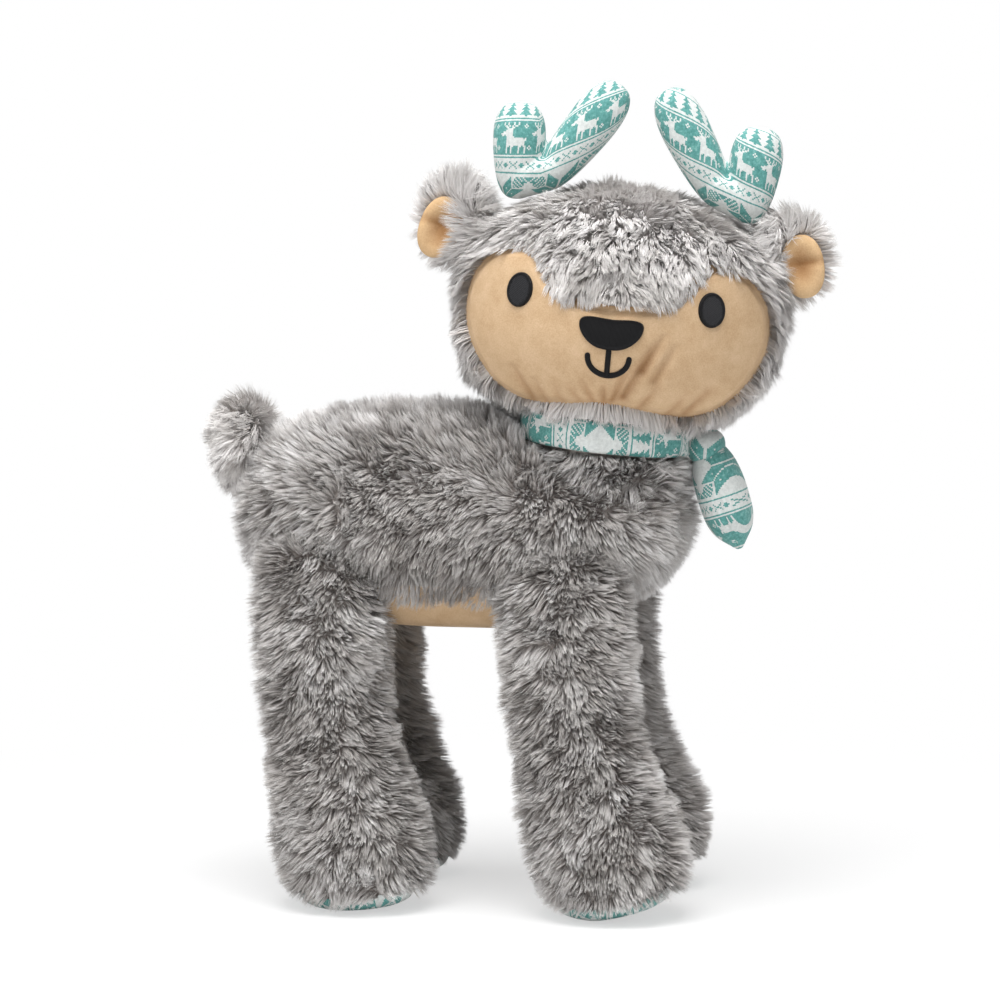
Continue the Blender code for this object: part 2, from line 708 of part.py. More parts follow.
def make_face(shop, head):
    """Face panel, embroidered eyes, nose and mouth on the head form."""
    far = -(HEAD_HALF_DEPTH + PILE + OVERRUN)
    outline = mirrored_outline(FACE_OUTLINE_SHARES, HEAD_HALF_WIDTH, HEAD_HALF_HEIGHT, 0)
    opening = shop.cutter(prism(outline, 0, far), head)
    window = shop.cutter(prism(moved_in(outline, FIT_GAP), 0, far), head)
    panel(shop, "face_panel", head_point, BODY_FACETS, LINING_FACETS, shop.tan, head, window)
    nose = mirrored_outline(NOSE_OUTLINE_SHARES, NOSE_HALF_WIDTH, NOSE_HALF_HEIGHT, NOSE_DROP)
    patches = [("nose_embroidery", nose), ("mouth_embroidery", smile_outline())]
    for word, side in SIDES:
        eye = ellipse(EYE_HALF_WIDTH, EYE_HALF_HEIGHT, side * EYE_TILT, side * EYE_SIDE, EYE_RISE)
        patches.append(("eye_embroidery_" + word, eye))
    for name, patch in patches:
        piece = shop.piece(name, stuffed(head_point, BODY_FACETS, FIT_GAP + THREAD), shop.thread, head)
        boolean(piece, shop.cutter(stuffed(head_point, BODY_FACETS, FIT_GAP), head))
        boolean(piece, shop.cutter(prism(patch, 0, far), head), "INTERSECT")
    return opening


def make_ear(shop, head, coat, word, side):
    """A fur ear that folds at its root, with a smooth lining let into its front."""
    way = Vector((side * math.cos(EAR_ANGLE), 0, math.sin(EAR_ANGLE)))
    axis = (-side * math.sin(EAR_ANGLE), 0, math.cos(EAR_ANGLE))
    hinge = new_hinge(
        "ear_hinge_" + word, head, shop.parts,
        Matrix.Translation((side * EAR_ROOT_SIDE, 0, EAR_ROOT_RISE)))
    leaf = {
        "start": way * (-EAR_ROOT_RADIUS / 2), "end": way * EAR_LENGTH, "across": EAR_HALF_HEIGHT,
        "thick": EAR_HALF_DEPTH, "table": EAR_FORM_SHARES, "end_power": HEAD_END_POWER,
    }
    ear = bending_piece(
        shop, "ear_" + word, shop.fur, hinge, axis, EAR_ROOT_RADIUS, EAR_ROOT_HALF_WIDTH,
        [leaf], LOBE_FACETS)
    front = Vector((0, -EAR_HALF_DEPTH + LINING_HALF_DEPTH - LINING_BULGE, 0))
    inset = {
        "start": way * (LINING_REACH - LINING_HALF_LENGTH) + front,
        "end": way * (LINING_REACH + LINING_HALF_LENGTH) + front,
        "across": LINING_HALF_HEIGHT, "thick": LINING_HALF_DEPTH, "table": LINING_FORM_SHARES,
        "end_power": HEAD_ROUND_POWER,
    }
    shop.piece("ear_lining_" + word, stuffed(limb_point, SMALL_FACETS, **inset), shop.tan, hinge)
    boolean(ear, shop.cutter(stuffed(limb_point, SMALL_FACETS, FIT_GAP, **inset), hinge))
    socket(shop, coat, hinge, axis, EAR_ROOT_RADIUS, EAR_ROOT_HALF_WIDTH)


def make_antler(shop, head, coat, word, side):
    """A printed antler, two stuffed lobes on a broad palm, that bends at its root."""
    axis = Vector((side * math.cos(ANTLER_ROOT_SLOPE), 0, -math.sin(ANTLER_ROOT_SLOPE)))
    hinge = new_hinge(
        "antler_hinge_" + word, head, shop.parts,
        Matrix.Translation((side * ANTLER_ROOT_SIDE, 0, ANTLER_ROOT_RISE)))
    lobes = []
    for root, start_rise, tip_side, tip_rise, half_width in (
        (PALM_ROOT, PALM_START_RISE, PALM_SIDE, PALM_RISE, PALM_HALF_WIDTH),
        (LONG_LOBE_ROOT, 0, LONG_LOBE_SIDE, LONG_LOBE_RISE, LONG_LOBE_HALF_WIDTH),
        (SHORT_LOBE_ROOT, 0, SHORT_LOBE_SIDE, SHORT_LOBE_RISE, SHORT_LOBE_HALF_WIDTH),
    ):
        start = axis * root + Vector((0, 0, start_rise))
        end = start + Vector((side * tip_side, 0, tip_rise))
        lobes.append({
            "start": start - (end - start).normalized() * (ANTLER_ROOT_RADIUS / 2), "end": end,
            "across": half_width, "thick": LOBE_HALF_THICKNESS, "table": LOBE_FORM_SHARES,
            "end_power": LOBE_END_POWER,
        })
    bending_piece(
        shop, "antler_" + word, shop.print, hinge, axis, ANTLER_ROOT_RADIUS, ANTLER_ROOT_HALF_WIDTH,
        lobes, LOBE_FACETS)
    socket(shop, coat, hinge, axis, ANTLER_ROOT_RADIUS, ANTLER_ROOT_HALF_WIDTH)


def make_head(shop, neck_frame):
    """The stuffed head on its turning axis, with face, ears and antlers."""
    head = new_hinge("head_hinge", neck_frame, shop.parts, Matrix.Rotation(HEAD_TURN, 4, "Z"))
    coat = cover(shop, "head_cover", head_point, head_point, BODY_FACETS, LINING_FACETS, head)
    inside = filling(shop, "head_filling", head_point, LINING_FACETS, head)
    neck_hole = shop.cutter(
        drum(BAND_OUTER_RADIUS + FIT_GAP, -HEAD_SEAT_DROP, -HEAD_SEAT_DROP - OVERRUN), head)
    boolean(coat, make_face(shop, head))
    boolean(coat, neck_hole)
    boolean(inside, neck_hole)
    for word, side in SIDES:
        make_ear(shop, head, coat, word, side)
        make_antler(shop, head, coat, word, side)


def make_tail(shop, root, coat):
    """A round fur tail that bends up and down on the rump."""
    hinge = new_hinge(
        "tail_hinge", root, shop.parts, Matrix.Translation((0, TAIL_ROOT_BACK, TAIL_ROOT_HEIGHT)))
    way = Vector((0, math.cos(TAIL_LIFT), math.sin(TAIL_LIFT)))
    ball = {
        "start": way * (-TAIL_ROOT_RADIUS / 2), "end": way * TAIL_LENGTH, "across": TAIL_HALF_WIDTH,
        "thick": TAIL_HALF_HEIGHT, "table": TAIL_FORM_SHARES, "end_power": HEAD_END_POWER,
        "across_axis": Vector((1, 0, 0)),
    }
    bending_piece(
        shop, "tail", shop.fur, hinge, (1, 0, 0), TAIL_ROOT_RADIUS, TAIL_ROOT_HALF_WIDTH,
        [ball], SMALL_FACETS)
    socket(shop, coat, hinge, (1, 0, 0), TAIL_ROOT_RADIUS, TAIL_ROOT_HALF_WIDTH)


def centre_on_ground(root, collection):
    """Move the deer so that the middle of its bounding box stands over the origin."""
    bpy.context.view_layer.update()
    shapes = bpy.context.evaluated_depsgraph_get()
    corners = []
    for obj in collection.objects:
        if obj.type == "MESH":
            shown = obj.evaluated_get(shapes)
            corners += [shown.matrix_world @ vertex.co for vertex in shown.data.vertices]
    middle = [(min(c[axis] for c in corners) + max(c[axis] for c in corners)) / 2 for axis in (0, 1)]
    root.location = (-middle[0], -middle[1], -min(c.z for c in corners))
    bpy.context.view_layer.update()


def build():
    """Clear the scene and make the deer."""
    for obj in list(bpy.data.objects):
        bpy.data.objects.remove(obj, do_unlink=True)
    shop = Workshop()
    root = new_hinge("deer", None, shop.parts, Matrix())
    neck_frame = new_hinge(
        "neck_frame", root, shop.parts,
        Matrix.Translation((0, HEAD_CENTRE_BACK, HEAD_CENTRE_HEIGHT)) @ Matrix.Rotation(HEAD_LEAN, 4, "X"))
    coat = make_body(shop, root, neck_frame)
    make_legs(shop, root)
    make_neck(shop, root, neck_frame)
    make_scarf_end(shop, neck_frame)
    make_head(shop, neck_frame)
    make_tail(shop, root, coat)
    centre_on_ground(root, shop.parts)


build()
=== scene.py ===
import json
import math

import bmesh
import bpy
import numpy as np
from mathutils import Matrix, Vector
from mathutils.bvhtree import BVHTree
from mathutils.kdtree import KDTree


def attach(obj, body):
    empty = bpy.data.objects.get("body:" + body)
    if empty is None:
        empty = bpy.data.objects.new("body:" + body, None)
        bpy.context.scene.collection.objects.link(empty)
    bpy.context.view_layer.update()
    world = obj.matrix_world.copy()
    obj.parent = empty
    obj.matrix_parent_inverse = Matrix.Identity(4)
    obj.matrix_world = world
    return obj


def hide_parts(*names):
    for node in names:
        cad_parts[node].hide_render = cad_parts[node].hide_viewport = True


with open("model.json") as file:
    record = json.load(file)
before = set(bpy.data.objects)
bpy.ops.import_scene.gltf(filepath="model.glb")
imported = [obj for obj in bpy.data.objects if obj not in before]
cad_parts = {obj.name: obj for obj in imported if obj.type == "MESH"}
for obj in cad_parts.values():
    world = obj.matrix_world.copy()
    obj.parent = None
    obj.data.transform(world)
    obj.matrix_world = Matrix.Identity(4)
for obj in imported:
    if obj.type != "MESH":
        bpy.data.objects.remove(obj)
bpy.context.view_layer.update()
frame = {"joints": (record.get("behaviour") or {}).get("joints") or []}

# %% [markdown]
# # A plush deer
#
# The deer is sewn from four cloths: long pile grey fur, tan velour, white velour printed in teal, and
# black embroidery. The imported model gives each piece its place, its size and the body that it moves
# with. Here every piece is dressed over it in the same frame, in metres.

MM = 0.001
hinges = {joint["name"]: Vector(joint["pos_m"]) for joint in frame["joints"]}

# %% [markdown]
# ## The forms under the cloth
#
# A stuffed piece has no edges to measure, so each one is a sphere moved point by point: first onto a
# boxier unit form, then out to the real sizes, which swell and taper by a table of shares. The same
# function gives the backing cloth or a seam sunk in the cloth, by its growth.

# %% Sizes of the stuffed forms, measured to the cloth under the pile
PILE = 8.0 * MM
BODY = {
    "half": (51.0 * MM, 106.0 * MM, 49.5 * MM), "height": 187.5 * MM, "back": 17.0 * MM,
    "form_shares": (
        (-1.00, 1.00, 0.96, 0.98), (-0.60, 1.00, 0.98, 1.04), (-0.20, 1.00, 1.00, 0.97),
        (0.08, 0.98, 1.00, 0.96), (0.30, 0.86, 1.00, 1.00), (0.58, 0.62, 0.96, 1.04),
        (1.00, 0.50, 0.84, 0.98),
    ),
}
HIP_HEIGHT = 178.0 * MM
HIP_SIDE, FOOT_SIDE = 33.5 * MM, 40.0 * MM
FOOT_HALF_LENGTH, FOOT_HALF_WIDTH = 35.0 * MM, 27.0 * MM
LEG_FORM_SHARES = (
    (0.00, 1.00, 0.98, 1.00), (0.10, 0.96, 1.02, 1.04), (0.22, 0.80, 0.97, 1.00),
    (0.36, 0.52, 0.86, 0.93), (0.52, 0.26, 0.79, 0.88), (0.76, 0.08, 0.84, 0.85),
    (1.00, 0.00, 0.88, 0.84),
)
LEGS = {
    "front_leg": {"hip_back": -36.0 * MM, "reach": 26.0 * MM, "roll": math.radians(14.0)},
    "rear_leg": {"hip_back": 82.0 * MM, "reach": 20.0 * MM, "roll": math.radians(5.0)},
}
HEAD_HALF = (75.0 * MM, 60.0 * MM, 55.0 * MM)
HEAD_LEAN, HEAD_TURN = math.radians(6.0), math.radians(-84.0)
MUZZLE_SWELL, MUZZLE_DROP, MUZZLE_SPREAD = 5.0 * MM, 9.0 * MM, 26.0 * MM
BAND_OUTER_RADIUS, BAND_TOP = 42.3 * MM, -50.3 * MM
BAND_HEIGHT, BAND_THICKNESS = 15.0 * MM, 6.0 * MM
SIDES = (("left", 1.0), ("right", -1.0))


def shares_at(table, place):
    """Read the columns of a table of shares at many places, on smooth curves."""
    table = np.array(table)
    stops = table[:, 0]
    place = np.clip(place, stops[0], stops[-1])
    index = np.clip(np.searchsorted(stops, place) - 1, 0, len(stops) - 2)
    before, after = np.maximum(index - 1, 0), np.minimum(index + 2, len(stops) - 1)
    span = stops[index + 1] - stops[index]
    way = (place - stops[index]) / span
    columns = []
    for values in table.T[1:]:
        start, end = values[index], values[index + 1]
        leave = (end - values[before]) / (stops[index + 1] - stops[before]) * span
        arrive = (values[after] - start) / (stops[after] - stops[index]) * span
        rise = end - start
        bend = 3 * rise - 2 * leave - arrive + way * (leave + arrive - 2 * rise)
        columns.append(start + way * (leave + way * bend))
    return columns


def boxed(units, end_power, round_power):
    """Push points of the unit sphere out onto a boxier unit form."""
    x, y, z = np.abs(units).T
    around = (x ** round_power + y ** round_power) ** (1 / round_power)
    return units / ((around ** end_power + z ** end_power) ** (1 / end_power))[:, None]


def moved(points, matrix):
    """Points taken through a matrix."""
    turn = np.array(matrix)
    return points @ turn[:3, :3].T + turn[:3, 3]


# %% The neck's and the head's frames, from the joint that turns the head
neck_frame = Matrix.Translation(hinges["head_turn"]) @ Matrix.Rotation(HEAD_LEAN, 4, "X")
head_frame = neck_frame @ Matrix.Rotation(HEAD_TURN, 4, "Z")
shift = hinges["head_turn"] - Vector((0, -58.4 * MM, 285.9 * MM))
print("the deer stands", round(shift.y / MM, 2), "mm back of its own middle")


def body_form(units, growth):
    """The body: rump at the sphere's lower pole, chest at its upper pole."""
    unit = boxed(units, 3.0, 2.3)
    rise, fall, width = shares_at(BODY["form_shares"], unit[:, 2])
    height = np.where(unit[:, 1] > 0, rise, fall)
    half_x, half_y, half_z = BODY["half"]
    points = np.stack((
        unit[:, 0] * (half_x * width + growth),
        BODY["back"] - unit[:, 2] * (half_y + growth),
        BODY["height"] + unit[:, 1] * (half_z * height + growth),
    ), axis=1)
    return points + np.array(shift)


def leg_form(side, hip_back, reach, roll):
    """A leg: foot at the sphere's lower pole, hip at the upper, toe rolled up off the ground."""
    def form(units, growth):
        unit = boxed(units, 5.0, 2.2)
        lift = (unit[:, 2] + 1) / 2
        forward, length, width = shares_at(LEG_FORM_SHARES, lift)
        toeward = -unit[:, 1] * (FOOT_HALF_LENGTH * length + growth) + FOOT_HALF_LENGTH / 4
        curl = np.maximum(toeward, 0) ** 2 / (np.abs(toeward) + FOOT_HALF_LENGTH / 4)
        points = np.stack((
            side * (FOOT_SIDE + (HIP_SIDE - FOOT_SIDE) * lift)
            + unit[:, 0] * (FOOT_HALF_WIDTH * width + growth),
            hip_back - reach * forward + unit[:, 1] * (FOOT_HALF_LENGTH * length + growth),
            lift * HIP_HEIGHT + math.tan(roll) * curl * (1 - lift) ** 3,
        ), axis=1)
        return points + np.array(shift)
    return form


def head_local(units, growth):
    """The head about its own middle, with the muzzle swelling forward."""
    unit = boxed(units, 2.5, 2.2)
    grown = np.asarray(growth)
    points = np.stack([unit[:, axis] * (HEAD_HALF[axis] + grown) for axis in range(3)], axis=1)
    spread = (points[:, 0] / MUZZLE_SPREAD) ** 2 + ((points[:, 2] + MUZZLE_DROP) / MUZZLE_SPREAD) ** 2
    points[:, 1] -= np.where(unit[:, 1] < 0, MUZZLE_SWELL * np.exp(-spread), 0)
    return points


def head_form(units, growth):
    """The head in its place, turned to its right."""
    return moved(head_local(units, growth), head_frame)


def limb_form(start, end, across, thick, form_shares, end_power, place, across_axis=None):
    """A stuffed limb from start to end in the frame of its hinge, flattened along that frame's Y."""
    axis = (end - start).normalized()
    side = across_axis or Vector((0, 1, 0)).cross(axis).normalized()
    flat = np.array(axis.cross(side))

    def form(units, growth):
        unit = boxed(units, end_power, 2.2)
        way = (unit[:, 2] + 1) / 2
        wide_share, thick_share = shares_at(form_shares, way)
        middle = np.outer(1 - way, np.array(start)) + np.outer(way, np.array(end))
        middle += np.outer(growth * unit[:, 2], np.array(axis))
        middle += np.outer(unit[:, 0] * (across * wide_share + growth), np.array(side))
        middle += np.outer(unit[:, 1] * (thick * thick_share + growth), flat)
        return moved(middle, place)
    return form

# %% [markdown]
# ## A sphere becomes a piece
#
# `bmesh.ops.create_uvsphere` gives a clean grid with two poles. Its points are moved onto a form, and
# its normals are checked, because a form may mirror the sphere. Each piece rides on the body of the
# model that it belongs to, and stands for the plain solid under it.

# %% Helpers that make a mesh and hand it to the frame
def sphere_points(facets):
    """A sphere's mesh and its points as unit vectors."""
    mesh = bmesh.new()
    bmesh.ops.create_uvsphere(mesh, u_segments=facets[0], v_segments=facets[1], radius=1)
    return mesh, np.array([vertex.co.normalized() for vertex in mesh.verts])


def place_points(mesh, points):
    """Move a mesh's points, and turn its faces outwards."""
    for vertex, point in zip(mesh.verts, points):
        vertex.co = point
    bmesh.ops.recalc_face_normals(mesh, faces=mesh.faces)
    if mesh.calc_volume(signed=True) < 0:
        bmesh.ops.reverse_faces(mesh, faces=mesh.faces)
    mesh.normal_update()


def link_piece(name, data, material, body):
    """Make a smooth object of a mesh, in one material, that rides on its body."""
    data.shade_smooth()
    data.materials.append(material)
    piece = bpy.data.objects.new(name, data)
    bpy.context.scene.collection.objects.link(piece)
    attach(piece, body)
    print(name, len(data.polygons), "faces")
    return piece


def add_piece(name, mesh, material, body, node):
    """Finish a bmesh as an object that stands for its node."""
    data = bpy.data.meshes.new(name)
    mesh.to_mesh(data)
    mesh.free()
    piece = link_piece(name, data, material, body)
    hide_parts(node)
    return piece


def add_uv(mesh, name, coordinates):
    """Give a bmesh a map, one pair of coordinates for each point."""
    layer = mesh.loops.layers.uv.new(name)
    for face in mesh.faces:
        for loop in face.loops:
            loop[layer].uv = coordinates[loop.vert.index]

# %% [markdown]
# ## Materials
#
# Every finish is a small tree of nodes on a Principled shader. Colours are written as the eye reads
# them, in sRGB hex, and turned to linear light once. One function adds a node.

# %% A node, a colour and a cloth shader
def linear(code):
    """An sRGB hex colour as linear red, green, blue and alpha."""
    parts = [int(code[index:index + 2], 16) / 255 for index in (1, 3, 5)]
    light = (part / 12.92 if part <= 0.04045 else ((part + 0.055) / 1.055) ** 2.4 for part in parts)
    return tuple(light) + (1.0,)


def add_node(tree, kind, settings=None, inputs=None, stops=()):
    """Add a node, set its properties and a ramp's stops, and set or link its sockets."""
    node = tree.nodes.new(kind)
    for name, value in (settings or {}).items():
        setattr(node, name, value)
    for name, value in (inputs or {}).items():
        if isinstance(value, bpy.types.NodeSocket):
            tree.links.new(value, node.inputs[name])
        else:
            node.inputs[name].default_value = value
    for index, (place, colour) in enumerate(stops):
        if index >= len(node.color_ramp.elements):
            node.color_ramp.elements.new(1.0)
        node.color_ramp.elements[index].position = place
        node.color_ramp.elements[index].color = colour
    return node


def new_cloth(name, roughness, sheen=0.0, sheen_tint="#ffffff"):
    """A material with a Principled shader of cloth, and its tree."""
    material = bpy.data.materials.new(name)
    material.use_nodes = True
    tree = material.node_tree
    shader = tree.nodes["Principled BSDF"]
    shader.inputs["Roughness"].default_value = roughness
    shader.inputs["Specular IOR Level"].default_value = 0.15
    shader.inputs["Sheen Weight"].default_value = sheen
    shader.inputs["Sheen Tint"].default_value = linear(sheen_tint)
    return material, tree, shader

# %% [markdown]
# Long pile fur is polyester fibre, knitted into a backing and brushed up. Each hair is dyed through,
# but light dies between the roots, and the fine tips scatter it, so a hair reads dark at its root and
# almost white at its tip. The map of each hair holds that as painted shade: across it its own tone,
# along it its height. The roughness stays constant, because hundreds of hairs share one map place.
# The head, ears and tail wear a paler copy of the same fur, whose roots are nearly as light as its
# tips: painted light.

# %% Grey fur: the hairs and their backing
def make_pile_material(name, stops, tones):
    """Dyed polyester hair, darker at the root, each with its own tone."""
    material, tree, shader = new_cloth(name, 0.75, 0.2)
    place = add_node(tree, "ShaderNodeUVMap", {"uv_map": "OFBake"})
    split = add_node(tree, "ShaderNodeSeparateXYZ", inputs={"Vector": place.outputs["UV"]})
    height = add_node(tree, "ShaderNodeValToRGB", inputs={"Fac": split.outputs["Y"]}, stops=[
        (share, linear(code)) for share, code in stops])
    tone = add_node(tree, "ShaderNodeValToRGB", inputs={"Fac": split.outputs["X"]}, stops=[
        (share, linear(code)) for share, code in tones])
    mix = add_node(tree, "ShaderNodeMix", {"data_type": "RGBA", "blend_type": "MULTIPLY"}, {
        "Factor": 1.0, "A": height.outputs["Color"], "B": tone.outputs["Color"]})
    tree.links.new(mix.outputs["Result"], shader.inputs["Base Color"])
    return material


grey_pile = make_pile_material(
    "grey_fur_pile_brushed_polyester",
    ((0.0, "#a49e9a"), (0.35, "#cfcbc9"), (0.7, "#efedec"), (1.0, "#ffffff")),
    ((0.0, "#bcb7b3"), (0.5, "#e6e4e2"), (1.0, "#ffffff")))
# A paler copy of the same grey fur for the head, ears and tail, its roots nearly as light as its tips: painted
# light
pile_painted_light = make_pile_material(
    "grey_fur_pile_painted_light",
    ((0.0, "#e4e0dd"), (0.35, "#e8e5e3"), (0.7, "#ebe9e8"), (1.0, "#edecea")),
    ((0.0, "#c9c4c0"), (0.5, "#e9e7e5"), (1.0, "#fcfbfb")))


def make_backing_material(name, dark, light):
    """Knitted backing, seen only deep between the hairs."""
    material, tree, shader = new_cloth(name, 0.95)
    place = add_node(tree, "ShaderNodeTexCoord")
    noise = add_node(tree, "ShaderNodeTexNoise", inputs={
        "Vector": place.outputs["Object"], "Scale": 400.0, "Detail": 3.0})
    colour = add_node(tree, "ShaderNodeValToRGB", inputs={"Fac": noise.outputs["Fac"]}, stops=[
        (0.3, linear(dark)), (0.7, linear(light))])
    tree.links.new(colour.outputs["Color"], shader.inputs["Base Color"])
    return material


grey_backing = make_backing_material("grey_fur_backing_knitted", "#8f8782", "#b5aea9")
# A paler copy of the same knitted backing for the head, ears and tail: painted light
backing_painted_light = make_backing_material("grey_fur_backing_painted_light", "#c9c4c0", "#dcd8d5")

# %% [markdown]
# The face, belly and ear linings are velour: a knit whose short pile is sheared to under a
# millimetre. A finger leaves lighter and darker patches where the nap lies over, a few millimetres
# wide. The creases of the face and the cups of the ear linings get painted shade: a fold value on
# the mesh darkens the colour there. The pile itself is a grain of 0.4 mm, drawn at 0.7 mm so that
# it shows.

# %% Tan velour, sheared
def make_velour(name, light, dark, depth):
    """Short sheared nap with brushed patches, a fine grain, and painted shade where the fold value is set."""
    material, tree, shader = new_cloth(name, 0.85, 0.25, light)
    place = add_node(tree, "ShaderNodeTexCoord")
    patch = add_node(tree, "ShaderNodeTexNoise", inputs={
        "Vector": place.outputs["Object"], "Scale": 1 / (9 * MM), "Detail": 4.0, "Roughness": 0.6})
    grain = add_node(tree, "ShaderNodeTexNoise", inputs={
        "Vector": place.outputs["Object"], "Scale": 1 / (0.7 * MM), "Detail": 2.0})
    both = add_node(tree, "ShaderNodeMix", {"data_type": "FLOAT"}, {
        "Factor": 0.45, "A": patch.outputs["Fac"], "B": grain.outputs["Fac"]})
    colour = add_node(tree, "ShaderNodeValToRGB", inputs={"Fac": both.outputs["Result"]}, stops=[
        (0.3, linear(dark)), (0.7, linear(light))])
    # Painted shade: the fold value multiplies the colour towards #c2a88e, darkest in creases and cups
    fold = add_node(tree, "ShaderNodeAttribute", {"attribute_name": "fold"})
    painted_fold_shade = add_node(tree, "ShaderNodeMix", {"data_type": "RGBA", "blend_type": "MULTIPLY"}, {
        "Factor": fold.outputs["Fac"], "A": colour.outputs["Color"], "B": linear("#c2a88e")})
    bump = add_node(tree, "ShaderNodeBump", inputs={
        "Height": both.outputs["Result"], "Strength": 0.5, "Distance": depth})
    tree.links.new(painted_fold_shade.outputs["Result"], shader.inputs["Base Color"])
    tree.links.new(bump.outputs["Normal"], shader.inputs["Normal"])
    return material


tan_velour = make_velour("tan_velour_sheared", "#cfb392", "#b59672", 0.5 * MM)
# A second, slightly lighter copy of the same tan velour for the ear linings: painted light
ear_velour_painted_light = make_velour("tan_velour_ear_lining", "#d8ba92", "#bd9a72", 0.5 * MM)

# %% [markdown]
# The antlers, scarf and soles are white velour with a heat printed winter pattern, as on a knitted
# jumper: firs, deer, crosses and eight pointed stars. It is drawn as a knitter would, on a chart of
# square stitches of 0.75 mm. Each row of a motif is one ramp with hard steps, lit only in its row.

# %% The knitting charts, half of each where it is the same on both sides
STITCH = 0.75 * MM
REPEAT_ROWS = 92
FIR_CHART = (
    "X.....", "X.....", "XX....", "XXX...", "X.....", "XX....", "XXX...", "XXXX..", "XX....", "XXX...",
    "XXXX..", "XXXXX.", "X.....",
)
DEER_CHART = (
    "..X..X...X..X.........", "..X..X...X..X....X....", "...XX.X.X.XX....X.X...", "....XX..XX.......X....",
    ".....XXXX.............", "....XXXXX.............", "..XXXXXXX.............", "XXXXXXXXX.............",
    ".XX.XXXXX.............", ".....XXXXX............", ".....XXXXXXXXXXX.X....", ".....XXXXXXXXXXXXX....",
    ".....XXXXXXXXXXXX.....", ".....XXXXXXXXXXXX.....", ".....XXXXXXXXXXXX.....", ".....XX.XX...XX.XX..X.",
    ".....X..X....X...X.X.X", ".....X..X....X...X..X.", ".....X..X....X...X....", ".....X..X....X...X....",
)
CROSS_CHART = ("XX...X", "X...X.", "...X..", "......")
STAR_REACH = 18


def star_row(row):
    """One row of the star, from its middle out: eight slanted petals with a gap between each pair."""
    cells = ""
    for column in range(22):
        low, high = min(row, column), max(row, column)
        petal = low >= 1 and 1 <= high - low <= 9 and low <= 9
        eye = low == 5 and high - low == 5
        corner = row > 10 and column > 10 and (row + column) % 3 and abs(row - column) < 6
        flake = 21 - column == 18 - row and column > 17
        cells += "X" if (petal and not eye) or corner or flake else "."
    return cells


STAR_CHART = tuple(star_row(row) for row in range(STAR_REACH + 1))
print("rows in the charts", len(FIR_CHART), len(DEER_CHART), len(CROSS_CHART), len(STAR_CHART))


# %% The printed velour
def steps_of(row, turned_round):
    """A chart's row as hard stops of ink for a ramp."""
    stops, last = [], None
    for index, cell in enumerate(row):
        ink = (cell == "X") != turned_round
        if ink != last:
            stops.append((index / len(row), (1.0, 1.0, 1.0, 1.0) if ink else (0.0, 0.0, 0.0, 1.0)))
            last = ink
    return stops


